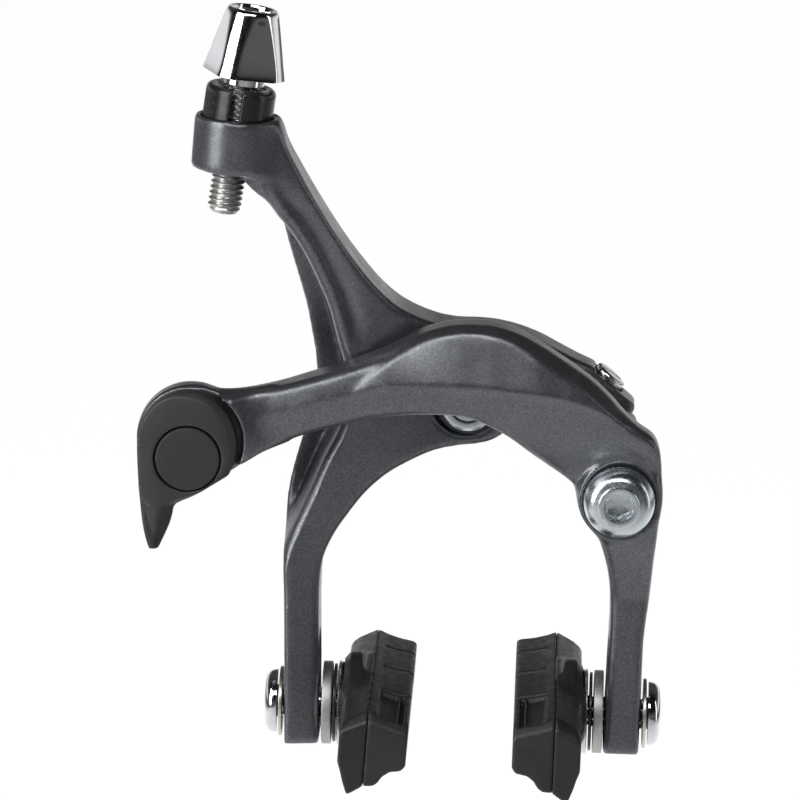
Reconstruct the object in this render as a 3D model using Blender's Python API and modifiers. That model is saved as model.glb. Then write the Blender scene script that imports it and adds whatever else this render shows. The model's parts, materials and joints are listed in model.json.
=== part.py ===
"""A dual-pivot side-pull rim brake caliper, modelled as its separate pieces.

Frame: the origin is on the crown bolt's axis, at the face that meets the fork.
+Y runs back through the fork, +X to the right as seen from the front, and +Z up.
The tyre runs along Y through the arch, and both brake shoes grip the rim below it.
"""

import math

import bmesh
import bpy
from mathutils import Matrix, Vector

MM = 0.001
GAP = 0.3 * MM  # left between pieces that rest on each other
ROUND_STEPS = 26
SMALL_STEPS = 20
SMOOTH_ANGLE = math.radians(35)
WELD = 0.00001

# The two pivots, and the reach from the crown bolt down to the shoe bolts.
SIDE_PIVOT_X = 27.4 * MM
SIDE_PIVOT_Z = -14.9 * MM
REACH = 57.0 * MM

# Layers from the fork forwards, all at negative Y.
SERRATED_FRONT = -2.7 * MM
BRIDGE_BACK = -3.0 * MM
BRIDGE_FRONT = -7.7 * MM
THRUST_BACK = -8.0 * MM
THRUST_FRONT = -8.6 * MM
HUB_BACK = -8.9 * MM
HUB_FRONT = -19.0 * MM
DUST_FRONT = -20.1 * MM
NUT_FRONT = -24.0 * MM
FRONT_ARM_BACK = -25.6 * MM
SHOE_BOLT_Y = -20.0 * MM

# The crown bolt (M6) and its hardware.
CROWN_BOLT_RADIUS = 3.0 * MM
CROWN_BOLT_END = 15.0 * MM
CROWN_NUT_RADIUS = 4.9 * MM
DUST_RING_RADIUS = 6.1 * MM
SERRATED_RADIUS = 9.5 * MM
HUB_RADIUS = 7.4 * MM
HUB_BORE = 4.5 * MM

# The bridge plate that ties the crown bolt to the side pivot.
BRIDGE_CROWN_RADIUS = 7.0 * MM
BRIDGE_SIDE_RADIUS = 6.9 * MM
BRIDGE_WAIST = 4.8 * MM  # below the line between the pivots, where the plate is cut away

# The side pivot bolt with its domed head, and the boss that turns on it.
SIDE_BOSS_RADIUS = 7.9 * MM
SIDE_BOSS_FRONT = -30.4 * MM
SIDE_BORE = 4.7 * MM
SIDE_SHANK_RADIUS = 3.3 * MM
SIDE_HEAD_RADIUS = 6.35 * MM
SIDE_HEAD_FRONT = -36.0 * MM
SIDE_THRUST_RADIUS = 6.4 * MM
SOCKET_RADIUS = 2.3 * MM  # across the corners of a 4 mm hexagon

# The barrel adjuster, on an axis that leans to the right going up.
ADJUSTER_LEAN = math.radians(7.1)
ADJUSTER_RIM = Vector((-42.0, -25.0, 51.2)) * MM  # centre of the boss's top rim
BOSS_RADIUS = 7.5 * MM
BOSS_DEPTH = 10.2 * MM
BUSHING_RADIUS = 6.2 * MM
BUSHING_TOP = 5.4 * MM
BUSHING_FOOT = -8.0 * MM
BUSHING_NECK_RADIUS = 4.9 * MM
SLIT_WIDTH = 1.8 * MM
SLIT_OFFSET = 1.3 * MM  # to the left of the adjuster's axis
SLIT_BACK = 2.4 * MM  # in front of the adjuster's axis
KNOB_FOOT = 7.2 * MM
KNOB_TOP = 19.3 * MM
KNOB_COLLAR_RADIUS = 3.9 * MM
KNOB_FLAT_FOOT = 6.5 * MM  # from the axis to each of the four flats, under the knob and above it
KNOB_FLAT_TOP = 4.4 * MM
KNOB_FLAT_TURN = math.radians(-21.5)
KNOB_FOOT_RADIUS = 7.5 * MM
KNOB_TOP_RADIUS = 4.6 * MM
ADJUSTER_THREAD_RADIUS = 3.0 * MM
ADJUSTER_THREAD_FOOT = -17.6 * MM
ADJUSTER_THREAD_TOP = 16.5 * MM
CABLE_BORE = 1.2 * MM
HOUSING_SEAT = 8.0 * MM
HOUSING_BORE = 2.4 * MM

# The quick release: a lever that turns in the front arm's eye, with the cable anchor off its centre.
EYE_X = -48.7 * MM
EYE_Z = -5.7 * MM
EYE_RADIUS = 9.8 * MM
EYE_FRONT = -33.0 * MM
LEVER_RADIUS = 9.3 * MM
LEVER_HUB_RADIUS = 7.0 * MM
LEVER_FRONT = -37.0 * MM
ANCHOR_X = -49.0 * MM
ANCHOR_Z = -8.5 * MM
ANCHOR_DISC_RADIUS = 5.7 * MM
ANCHOR_SHANK_RADIUS = 2.5 * MM
ANCHOR_BACK = -17.6 * MM
ANCHOR_RECESS = 2.0 * MM
CLAMP_HALF = 5.6 * MM
CLAMP_THICKNESS = 2.0 * MM
CLAMP_NUT_RADIUS = 5.1 * MM
CLAMP_NUT_HEIGHT = 4.6 * MM

# The shoes. u is the distance outwards from the plane midway between the legs.
MID_X = 0.65 * MM
LEG_INNER_U = 25.85 * MM
LEG_OUTER_U = 32.1 * MM
SLOT_TRAVEL = 10.0 * MM
SLOT_RADIUS = 3.3 * MM
SHOE_BOLT_RADIUS = 2.9 * MM
SHOE_LENGTH = 55.0 * MM
RIM_RADIUS = 311.0 * MM  # a shoe bends to follow a 622 mm rim
SHOE_LEAN = {"left": math.radians(3.0), "right": math.radians(0.6)}
SHOE_PITCH = {"left": math.radians(0.9), "right": math.radians(1.8)}
SHOE_END_CHAMFER = 1.8 * MM
SHOE_SEAT_U = 21.1 * MM
SHOE_SEAT_FLOOR_U = 20.0 * MM
SHOE_SEAT_RADIUS = 8.0 * MM
SHOE_COLLAR_RADIUS = 8.6 * MM
SHOE_COLLAR_U = 22.5 * MM
SHOE_BOLT_HEAD_RADIUS = 5.8 * MM
SHOE_BOLT_HEAD_U = 33.4 * MM
SHOE_BOLT_TOP_U = 35.9 * MM
SHOE_BOLT_TIP_U = 18.6 * MM

# The washers on each shoe bolt: radius, outer face, inner face, material.
SHOE_WASHERS = {
    "outer_washer": (6.3 * MM, 33.1 * MM, 32.5 * MM, "nickel"),
    "wide_washer": (7.5 * MM, 25.3 * MM, 23.6 * MM, "steel"),
    "rubber_washer": (7.1 * MM, 23.3 * MM, 22.8 * MM, "nylon"),
}

# The centring screw, in the end of the Y arm's right-hand extension.
SCREW_HEAD = Vector((24.4, -14.2, 3.0)) * MM  # under the head
SCREW_ANGLE = math.radians(50.0)
SCREW_RADIUS = 1.7 * MM
SCREW_HEAD_RADIUS = 3.1 * MM
SCREW_HEAD_HEIGHT = 1.9 * MM
SCREW_LENGTH = 14.0 * MM
SCREW_BOSS_RADIUS = 4.2 * MM
SCREW_BOSS_LENGTH = 4.5 * MM
SCREW_SEAT_RADIUS = 5.6 * MM
HEEL_MIDDLE_Y = -14.2 * MM
HEEL_THICKNESS = 8.4 * MM

# The front arm's heel, which the screw's tip bears on, in millimetres.
HEEL_OUTLINE = (
    (12.6, -6.9),
    (24.0, -7.5),
    (26.0, -20.0),
    (20.4, -16.6),
    (12.6, -9.6),
)

# The peg on the Y arm that the return spring's left foot rests against.
PEG_FRONT = Vector((-28.6, -13.0, -17.0)) * MM
PEG_BACK = Vector((-28.6, -6.0, -17.0)) * MM
PEG_RADIUS = 2.0 * MM

# Rounding of the arms' cross-sections, in millimetres.
ARM_ROUNDING = 1.4
FRONT_BEAM_ROUNDING = 2.2

WIRE_RADIUS = 0.9 * MM

# Sections of the Y arm from the adjuster boss down to the foot of the left leg, in millimetres:
# height, left edge, right edge, front, back.
Y_ARM_UPRIGHT = (
    (49.6, -40.5, -34.9, -27.6, -22.4),
    (46.0, -41.0, -32.9, -29.2, -20.6),
    (41.0, -41.6, -30.1, -30.2, -19.0),
    (38.6, -39.0, -28.6, -30.0, -18.2),
    (36.8, -37.2, -27.5, -29.8, -17.4),
    (33.6, -35.1, -25.4, -28.4, -16.0),
    (29.0, -33.5, -22.5, -26.6, -14.4),
    (24.0, -31.8, -18.8, -25.0, -13.0),
    (18.0, -30.1, -13.6, -24.2, -11.4),
    (12.0, -28.8, -10.0, -23.2, -10.0),
    (5.0, -27.5, -8.0, -22.4, -9.2),
    (-2.0, -27.9, -8.0, -22.4, -9.2),
    (-8.5, -29.5, -9.2, -22.8, -9.6),
    (-13.3, -30.9, -14.6, -23.8, -10.6),
    (-18.7, -32.0, -19.8, -25.0, -11.8),
    (-24.0, -32.4, -23.3, -26.0, -13.0),
    (-30.0, -32.4, -25.3, -26.5, -13.5),
    (-35.0, -32.1, -25.8, -26.5, -13.5),
    (-40.0, -31.5, -25.6, -26.5, -13.5),
    (-63.4, -31.3, -25.1, -26.5, -13.5),
)

# Sections of the Y arm's hub and right-hand extension: across, bottom, top, front, back.
Y_ARM_LEVEL = (
    (-18.0, -8.0, 13.0, -21.8, -9.3),
    (-12.0, -9.6, 15.4, -20.4, -8.9),
    (-7.0, -8.9, 14.6, -19.4, -8.9),
    (-2.0, -7.8, 13.5, -19.0, -8.9),
    (3.0, -7.1, 13.4, -19.0, -8.9),
    (7.5, -4.4, 12.7, -19.0, -8.9),
    (12.0, -1.2, 11.0, -19.0, -9.4),
    (17.0, -0.2, 8.5, -18.9, -9.9),
    (22.0, 0.2, 5.6, -18.4, -10.4),
    (25.4, -1.8, 3.2, -18.4, -10.4),
    (28.6, -2.8, -0.4, -18.0, -10.8),
)

# Sections of the front arm from the cable end to the side pivot: across, bottom, top, front, back.
FRONT_ARM_LEVEL = (
    (-45.5, -11.9, 3.2, -33.2, -25.6),
    (-40.0, -9.6, 3.2, -33.6, -25.6),
    (-33.0, -5.7, 4.4, -34.2, -25.6),
    (-25.0, -2.9, 6.8, -34.8, -25.6),
    (-17.2, -1.0, 9.8, -35.2, -25.6),
    (-10.0, 0.1, 13.3, -35.6, -25.6),
    (-3.4, 0.2, 15.6, -35.8, -25.6),
    (2.5, -0.9, 15.9, -35.6, -25.6),
    (8.0, -3.7, 14.8, -35.0, -25.6),
    (12.5, -6.8, 12.4, -34.0, -25.6),
    (17.0, -10.4, 9.6, -32.8, -25.6),
    (21.5, -15.0, 6.0, -31.8, -25.6),
    (26.0, -15.5, 1.7, -31.4, -25.6),
    (29.6, -14.0, -2.2, -31.2, -25.6),
)

# Sections of the front arm from its shoulder down to the foot of the right leg:
# height, left edge, right edge, front, back.
FRONT_ARM_UPRIGHT = (
    (-2.6, 21.0, 30.4, -31.2, -25.8),
    (-6.4, 19.0, 33.3, -31.0, -25.8),
    (-9.4, 18.6, 34.4, -30.7, -21.0),
    (-14.0, 19.8, 34.9, -30.5, -10.6),
    (-18.6, 22.2, 34.7, -30.0, -9.8),
    (-23.0, 24.2, 34.4, -29.0, -10.8),
    (-28.0, 25.7, 34.0, -27.4, -12.4),
    (-34.0, 26.7, 33.6, -26.5, -13.5),
    (-40.0, 26.7, 32.8, -26.5, -13.5),
    (-63.4, 26.4, 32.6, -26.5, -13.5),
)

# The quick release lever's tail, going anticlockwise from its left side, in millimetres.
LEVER_TAIL = (
    (-57.9, -9.0),
    (-57.3, -16.0),
    (-56.5, -21.6),
    (-55.5, -25.3),
    (-54.0, -25.4),
    (-52.2, -20.9),
    (-51.5, -18.8),
    (-51.4, -17.6),
    (-50.7, -16.6),
    (-48.1, -15.2),
    (-45.3, -13.5),
)

# Cross-sections of a shoe: u, then height against the shoe bolt, in millimetres.
RUBBER_SECTION = (
    (9.3, 5.6),
    (9.3, -1.2),
    (9.9, -2.2),
    (12.0, -2.7),
    (13.2, -3.6),
    (14.0, -4.9),
    (14.8, -5.5),
    (16.4, -5.7),
    (16.4, 8.0),
    (14.8, 7.2),
    (12.6, 6.6),
    (10.0, 6.2),
)
HOLDER_SECTION = (
    (16.7, 8.0),
    (16.7, -5.7),
    (18.6, -7.1),
    (19.4, -7.4),
    (20.3, -5.0),
    (20.9, -2.9),
    (21.4, -1.6),
    (21.4, 4.2),
    (20.9, 5.2),
    (19.8, 6.2),
    (18.2, 7.1),
)

# The return spring's wire behind the arms, from its left foot to its right foot, in millimetres.
SPRING_ROUTE = (
    (-24.4, -8.2, -20.6),
    (-24.4, -8.2, -14.4),
    (-23.2, -7.4, -11.0),
    (-20.2, -6.4, -6.0),
    (-15.5, -6.0, 1.5),
    (-9.5, -6.0, 7.8),
    (-3.0, -6.0, 10.6),
    (4.5, -6.0, 10.2),
    (12.0, -6.0, 6.4),
    (20.0, -6.0, 1.6),
    (25.0, -6.6, -2.4),
    (27.8, -9.0, -4.5),
    (28.4, -11.6, -4.7),
    (28.4, -17.8, -4.7),
)
SLEEVE_RADIUS = 1.9 * MM
SLEEVE_LENGTH = 5.0 * MM

COLOURS = {
    "paint": ((0.10, 0.105, 0.115), 0.38, 0.6),
    "chrome": ((0.78, 0.78, 0.78), 0.12, 1.0),
    "zinc": ((0.55, 0.58, 0.62), 0.28, 1.0),
    "steel": ((0.45, 0.45, 0.46), 0.42, 1.0),
    "nickel": ((0.55, 0.53, 0.48), 0.35, 1.0),
    "nylon": ((0.012, 0.012, 0.013), 0.35, 0.0),
    "black_plastic": ((0.03, 0.03, 0.032), 0.45, 0.0),
    "rubber": ((0.022, 0.022, 0.024), 0.62, 0.0),
}


def clear_scene():
    for obj in list(bpy.data.objects):
        bpy.data.objects.remove(obj, do_unlink=True)


def new_collection(name):
    collection = bpy.data.collections.new(name)
    bpy.context.scene.collection.children.link(collection)
    return collection


clear_scene()
PARTS = new_collection("rim_brake_caliper")
CUTTERS = new_collection("cutters")


def material(name):
    """The named Principled material, made the first time it is asked for."""
    if name in bpy.data.materials:
        return bpy.data.materials[name]
    colour, roughness, metallic = COLOURS[name]
    made = bpy.data.materials.new(name)
    made.use_nodes = True
    shader = made.node_tree.nodes["Principled BSDF"]
    shader.inputs["Base Color"].default_value = (*colour, 1.0)
    shader.inputs["Roughness"].default_value = roughness
    shader.inputs["Metallic"].default_value = metallic
    return made


def to_object(name, mesh):
    """A new object for a mesh. It is a tool until finish_part makes it a part."""
    obj = bpy.data.objects.new(name, mesh)
    CUTTERS.objects.link(obj)
    obj.hide_render = True
    obj.display_type = "WIRE"
    return obj


def finish_part(obj, material_name):
    """Move an object into the parts, with its material and smooth shading."""
    CUTTERS.objects.unlink(obj)
    PARTS.objects.link(obj)
    obj.hide_render = False
    obj.display_type = "TEXTURED"
    obj.data.materials.append(material(material_name))
    obj.data.shade_smooth()
    obj.data.set_sharp_from_angle(angle=SMOOTH_ANGLE)
    return obj


def boolean(obj, tool, operation):
    change = obj.modifiers.new(operation.lower(), "BOOLEAN")
    change.operation = operation
    change.object = tool
    change.solver = "EXACT"


def cut(obj, *tools):
    for tool in tools:
        boolean(obj, tool, "DIFFERENCE")


def add(obj, *tools):
    for tool in tools:
        boolean(obj, tool, "UNION")


def bevel(obj, width, segments=2, angle=math.radians(40)):
    change = obj.modifiers.new("bevel", "BEVEL")
    change.width = width
    change.segments = segments
    change.limit_method = "ANGLE"
    change.angle_limit = angle


def aim(origin, direction):
    """A matrix that takes local Z to a direction, and the local origin to a point."""
    turn = Vector(direction).to_track_quat("Z", "Y").to_matrix().to_4x4()
    return Matrix.Translation(origin) @ turn


def box(name, low, high):
    shape = bmesh.new()
    bmesh.ops.create_cube(shape, size=1.0)
    size = Vector(high) - Vector(low)
    bmesh.ops.scale(shape, vec=size, verts=shape.verts)
    mesh = bpy.data.meshes.new(name)
    shape.to_mesh(mesh)
    shape.free()
    obj = to_object(name, mesh)
    obj.location = (Vector(low) + Vector(high)) / 2
    return obj


def rod(name, start, end, radius, steps=ROUND_STEPS, end_radius=None):
    """A cylinder or cone between two points, with its origin at the first."""
    start = Vector(start)
    along = Vector(end) - start
    shape = bmesh.new()
    bmesh.ops.create_cone(
        shape,
        cap_ends=True,
        segments=steps,
        radius1=radius,
        radius2=radius if end_radius is None else end_radius,
        depth=along.length,
    )
    bmesh.ops.translate(shape, vec=(0, 0, along.length / 2), verts=shape.verts)
    mesh = bpy.data.meshes.new(name)
    shape.to_mesh(mesh)
    shape.free()
    obj = to_object(name, mesh)
    obj.matrix_world = aim(start, along)
    return obj


def turned(name, profile, origin, direction, steps=ROUND_STEPS, ring=False):
    """A turned piece. The profile holds (radius, distance along the axis), and runs down its outer side."""
    shape = bmesh.new()
    points = [shape.verts.new((radius, 0, along)) for radius, along in profile]
    for first, second in zip(points, points[1:]):
        shape.edges.new((first, second))
    if ring:
        shape.edges.new((points[-1], points[0]))
    mesh = bpy.data.meshes.new(name)
    shape.to_mesh(mesh)
    shape.free()
    obj = to_object(name, mesh)
    obj.matrix_world = aim(origin, direction)
    screw = obj.modifiers.new("turn", "SCREW")
    screw.axis = "Z"
    screw.steps = steps
    screw.render_steps = steps
    screw.use_merge_vertices = True
    screw.merge_threshold = WELD
    screw.use_smooth_shade = True
    return obj


def washer(name, inner, outer, back, front, x=0.0, z=0.0):
    """A flat ring about a line along Y, from its back face to its front face."""
    thickness = back - front
    profile = ((outer, thickness), (outer, 0), (inner, 0), (inner, thickness))
    return turned(name, profile, (x, back, z), (0, -1, 0), ring=True)


def weld_to_mesh(obj):
    """Replace a curve object by the mesh that it draws, with its caps welded."""
    graph = bpy.context.evaluated_depsgraph_get()
    mesh = bpy.data.meshes.new_from_object(obj.evaluated_get(graph))
    shape = bmesh.new()
    shape.from_mesh(mesh)
    bmesh.ops.remove_doubles(shape, verts=shape.verts, dist=WELD)
    bmesh.ops.recalc_face_normals(shape, faces=shape.faces)
    shape.to_mesh(mesh)
    shape.free()
    made = to_object(obj.name + "_mesh", mesh)
    made.matrix_world = obj.matrix_world.copy()
    name = obj.name
    bpy.data.objects.remove(obj, do_unlink=True)
    made.name = name
    return made


def extruded(name, outline, thickness, origin, direction):
    """A flat outline, given across and up, thickened evenly to both sides of its plane."""
    curve = bpy.data.curves.new(name, "CURVE")
    curve.dimensions = "2D"
    curve.fill_mode = "BOTH"
    curve.extrude = thickness / 2
    spline = curve.splines.new("POLY")
    spline.points.add(len(outline) - 1)
    for point, (across, up) in zip(spline.points, outline):
        point.co = (across, up, 0, 1)
    spline.use_cyclic_u = True
    obj = bpy.data.objects.new(name, curve)
    CUTTERS.objects.link(obj)
    across_axis, up_axis = direction
    normal = Vector(across_axis).cross(Vector(up_axis))
    turn = Matrix((across_axis, up_axis, normal)).transposed().to_4x4()
    obj.matrix_world = Matrix.Translation(origin) @ turn
    bpy.context.view_layer.update()
    return weld_to_mesh(obj)


ACROSS_X = ((1, 0, 0), (0, 0, 1))  # an outline drawn in X and Z
ACROSS_Y = ((0, 1, 0), (0, 0, 1))  # an outline drawn in Y and Z


def arc(centre, radius, start, end, steps):
    """Points on an arc, from one angle to another in degrees."""
    points = []
    for step in range(steps + 1):
        angle = math.radians(start + (end - start) * step / steps)
        points.append((centre[0] + radius * math.cos(angle), centre[1] + radius * math.sin(angle)))
    return points


def smooth_between(keys, parts):
    """Rows of numbers on a Catmull-Rom curve through the given rows, with parts steps between each two."""
    rows = []
    last = len(keys) - 1
    for index in range(last):
        before = keys[max(index - 1, 0)]
        here = keys[index]
        after = keys[index + 1]
        beyond = keys[min(index + 2, last)]
        for step in range(parts):
            t = step / parts
            row = []
            for a, b, c, d in zip(before, here, after, beyond):
                bend = 2 * b + (c - a) * t + (2 * a - 5 * b + 4 * c - d) * t**2
                row.append((bend + (3 * b - a - 3 * c + d) * t**3) / 2)
            rows.append(row)
    rows.append(list(keys[-1]))
    return rows


def rounded_ring(low, high, front, back, radius, corner_steps=2):
    """Corners of a rounded rectangle, as (across, depth) pairs."""
    radius = min(radius, 0.45 * (high - low), 0.45 * (back - front))
    centres = (
        (high - radius, back - radius, 0),
        (low + radius, back - radius, 90),
        (low + radius, front + radius, 180),
        (high - radius, front + radius, 270),
    )
    ring = []
    for across, depth, start in centres:
        ring += arc((across, depth), radius, start, start + 90, corner_steps)
    return ring


def loft(name, rings):
    """A closed skin over rings with the same number of points."""
    shape = bmesh.new()
    rows = [[shape.verts.new(point) for point in ring] for ring in rings]
    count = len(rows[0])
    for row, following in zip(rows, rows[1:]):
        for index in range(count):
            beside = (index + 1) % count
            shape.faces.new((row[index], row[beside], following[beside], following[index]))
    shape.faces.new(rows[0])
    shape.faces.new(rows[-1])
    bmesh.ops.recalc_face_normals(shape, faces=shape.faces)
    mesh = bpy.data.meshes.new(name)
    shape.to_mesh(mesh)
    shape.free()
    return to_object(name, mesh)


def upright_bar(name, keys, radius, parts=2):
    """A bar that runs up and down, from rows of height, left, right, front and back."""
    rings = []
    for height, left, right, front, back in smooth_between(keys, parts):
        ring = rounded_ring(left, right, front, back, radius)
        rings.append([Vector((across, depth, height)) * MM for across, depth in ring])
    return loft(name, rings)


def level_bar(name, keys, radius, parts=2):
    """A bar that runs left to right, from rows of across, bottom, top, front and back."""
    rings = []
    for across, bottom, top, front, back in smooth_between(keys, parts):
        ring = rounded_ring(bottom, top, front, back, radius)
        rings.append([Vector((across, depth, height)) * MM for height, depth in ring])
    return loft(name, rings)


def through_y(name, x, z, radius, front, back, steps=ROUND_STEPS):
    return rod(name, (x, front, z), (x, back, z), radius, steps)


def hex_socket(name, origin, direction, radius, depth):
    """A six-sided cutter that starts just outside a face and goes in along a direction."""
    start = Vector(origin) - Vector(direction).normalized() * MM
    end = Vector(origin) + Vector(direction).normalized() * depth
    return rod(name, start, end, radius, 6)


# The adjuster's axis, and a point on it a distance above the boss's rim.
ADJUSTER_UP = Vector((math.sin(ADJUSTER_LEAN), 0, math.cos(ADJUSTER_LEAN)))


def on_adjuster(distance):
    return ADJUSTER_RIM + ADJUSTER_UP * distance


# The centring screw's direction, from its head down to its tip.
SCREW_DOWN = Vector((-math.cos(SCREW_ANGLE), 0, -math.sin(SCREW_ANGLE)))


def build_crown_hardware():
    """The bolt that fastens the caliper to the fork, with its nut, washers and the hub's bushing."""
    bolt = turned(
        "crown_bolt",
        (
            (0, CROWN_BOLT_END),
            (CROWN_BOLT_RADIUS - 0.6 * MM, CROWN_BOLT_END),
            (CROWN_BOLT_RADIUS, CROWN_BOLT_END - 0.6 * MM),
            (CROWN_BOLT_RADIUS, NUT_FRONT + 0.8 * MM),
            (0, NUT_FRONT + 0.8 * MM),
        ),
        (0, 0, 0),
        (0, 1, 0),
    )
    finish_part(bolt, "zinc")
    nut = turned(
        "crown_nut",
        (
            (CROWN_NUT_RADIUS, DUST_FRONT - GAP),
            (CROWN_NUT_RADIUS, NUT_FRONT + 0.7 * MM),
            (CROWN_NUT_RADIUS - 0.7 * MM, NUT_FRONT),
            (CROWN_BOLT_RADIUS + GAP, NUT_FRONT),
            (CROWN_BOLT_RADIUS + GAP, DUST_FRONT - GAP),
        ),
        (0, 0, 0),
        (0, 1, 0),
        ring=True,
    )
    finish_part(nut, "zinc")
    inner = CROWN_BOLT_RADIUS + GAP
    dust = washer("dust_washer", inner, DUST_RING_RADIUS, HUB_FRONT - GAP, DUST_FRONT)
    finish_part(dust, "nylon")
    thrust = washer("hub_thrust_washer", inner, HUB_RADIUS, THRUST_BACK, THRUST_FRONT)
    finish_part(thrust, "nylon")
    bushing = washer("hub_bushing", inner, HUB_BORE - GAP, HUB_BACK, HUB_FRONT)
    finish_part(bushing, "steel")
    serrated = washer("serrated_washer", inner, SERRATED_RADIUS, 0, SERRATED_FRONT)
    finish_part(serrated, "steel")


def build_bridge():
    """The fixed plate behind the arms, from the crown bolt to the side pivot."""
    tilt = math.degrees(math.atan2(SIDE_PIVOT_Z, SIDE_PIVOT_X))
    along = Vector((SIDE_PIVOT_X, SIDE_PIVOT_Z))
    below = Vector((SIDE_PIVOT_Z, -SIDE_PIVOT_X)).normalized() * BRIDGE_WAIST
    outline = arc((0, 0), BRIDGE_CROWN_RADIUS, tilt + 90, tilt + 245, 16)
    outline += [tuple(along * share + below) for share in (0.32, 0.5, 0.62)]
    outline += arc((SIDE_PIVOT_X, SIDE_PIVOT_Z), BRIDGE_SIDE_RADIUS, tilt - 115, tilt + 90, 14)
    middle = (BRIDGE_FRONT + BRIDGE_BACK) / 2
    thickness = BRIDGE_BACK - BRIDGE_FRONT
    plate = extruded("bridge_plate", outline, thickness, (0, middle, 0), ACROSS_X)
    bevel(plate, 0.5 * MM, 1)
    ahead = BRIDGE_FRONT - MM
    behind = BRIDGE_BACK + MM
    crown_hole = through_y("bridge_crown_hole", 0, 0, CROWN_BOLT_RADIUS + GAP, ahead, behind)
    side_radius = SIDE_SHANK_RADIUS + GAP
    side_hole = through_y("bridge_side_hole", SIDE_PIVOT_X, SIDE_PIVOT_Z, side_radius, ahead, behind)
    cut(plate, crown_hole, side_hole)
    finish_part(plate, "steel")


def build_side_pivot():
    """The side pivot's bolt with its domed head, its bushing and its two washers."""
    base = SIDE_BOSS_FRONT - 0.6 * MM
    length = SIDE_HEAD_FRONT - base
    bolt = turned(
        "side_pivot_bolt",
        (
            (0, BRIDGE_BACK - GAP),
            (SIDE_SHANK_RADIUS, BRIDGE_BACK - GAP),
            (SIDE_SHANK_RADIUS, base),
            (SIDE_HEAD_RADIUS, base),
            (SIDE_HEAD_RADIUS, base + 0.28 * length),
            (0.86 * SIDE_HEAD_RADIUS, base + 0.62 * length),
            (0.62 * SIDE_HEAD_RADIUS, base + 0.90 * length),
            (0.50 * SIDE_HEAD_RADIUS, SIDE_HEAD_FRONT),
            (0, SIDE_HEAD_FRONT),
        ),
        (SIDE_PIVOT_X, 0, SIDE_PIVOT_Z),
        (0, 1, 0),
    )
    face = (SIDE_PIVOT_X, SIDE_HEAD_FRONT, SIDE_PIVOT_Z)
    cut(bolt, hex_socket("side_pivot_socket", face, (0, 1, 0), SOCKET_RADIUS, 3 * MM))
    finish_part(bolt, "zinc")
    inner = SIDE_SHANK_RADIUS + GAP
    place = {"x": SIDE_PIVOT_X, "z": SIDE_PIVOT_Z}
    back = HUB_BACK - 0.6 * MM
    bushing = washer("side_bushing", inner, SIDE_BORE - GAP, back, SIDE_BOSS_FRONT, **place)
    finish_part(bushing, "steel")
    thrust = washer("side_thrust_washer", inner, SIDE_THRUST_RADIUS, THRUST_BACK, THRUST_FRONT, **place)
    finish_part(thrust, "nylon")


def slot_cutter(name, side):
    """The upright slot that lets a shoe bolt slide, cut through a leg from side to side."""
    top = SLOT_TRAVEL - REACH
    outline = arc((SHOE_BOLT_Y, top), SLOT_RADIUS, 0, 180, 8)
    outline += arc((SHOE_BOLT_Y, -REACH), SLOT_RADIUS, 180, 360, 8)
    middle = MID_X + side * (LEG_INNER_U + LEG_OUTER_U) / 2
    return extruded(name, outline, 20 * MM, (middle, 0, 0), ACROSS_Y)


def build_y_arm():
    """The rear arm: adjuster boss at the top left, hub in the middle, left leg, right extension."""
    arm = upright_bar("y_arm", Y_ARM_UPRIGHT, ARM_ROUNDING)
    level = level_bar("y_arm_level", Y_ARM_LEVEL, ARM_ROUNDING)
    boss = rod("y_arm_boss", on_adjuster(-BOSS_DEPTH), on_adjuster(0), BOSS_RADIUS)
    hub = through_y("y_arm_hub", 0, 0, HUB_RADIUS, HUB_FRONT, HUB_BACK)
    screw_top = SCREW_HEAD + SCREW_DOWN * (GAP + 0.2 * MM)
    screw_foot = screw_top + SCREW_DOWN * SCREW_BOSS_LENGTH
    screw_boss = rod("y_arm_screw_boss", screw_top, screw_foot, SCREW_BOSS_RADIUS, 24)
    peg = rod("y_arm_spring_peg", PEG_FRONT, PEG_BACK, PEG_RADIUS, 16)
    add(arm, level, boss, hub, screw_boss, peg)
    bore_foot = on_adjuster(BUSHING_FOOT - GAP)
    bushing_bore = rod("y_arm_bushing_bore", bore_foot, on_adjuster(MM), BUSHING_RADIUS + GAP)
    neck_foot = on_adjuster(-20 * MM)
    neck_bore = rod("y_arm_neck_bore", neck_foot, on_adjuster(0), BUSHING_NECK_RADIUS + GAP)
    hub_bore = through_y("y_arm_hub_bore", 0, 0, HUB_BORE, HUB_FRONT - MM, HUB_BACK + MM)
    above_head = screw_top - SCREW_DOWN * SCREW_SEAT_RADIUS
    seat = rod("y_arm_screw_seat", screw_top, above_head, SCREW_SEAT_RADIUS, 24)
    hole_start = SCREW_HEAD - SCREW_DOWN * 2 * MM
    hole_end = SCREW_HEAD + SCREW_DOWN * 18 * MM
    screw_hole = rod("y_arm_screw_hole", hole_start, hole_end, SCREW_RADIUS + GAP, SMALL_STEPS)
    cut(arm, bushing_bore, neck_bore, hub_bore, seat, screw_hole, slot_cutter("y_arm_slot", -1))
    finish_part(arm, "paint")


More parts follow.
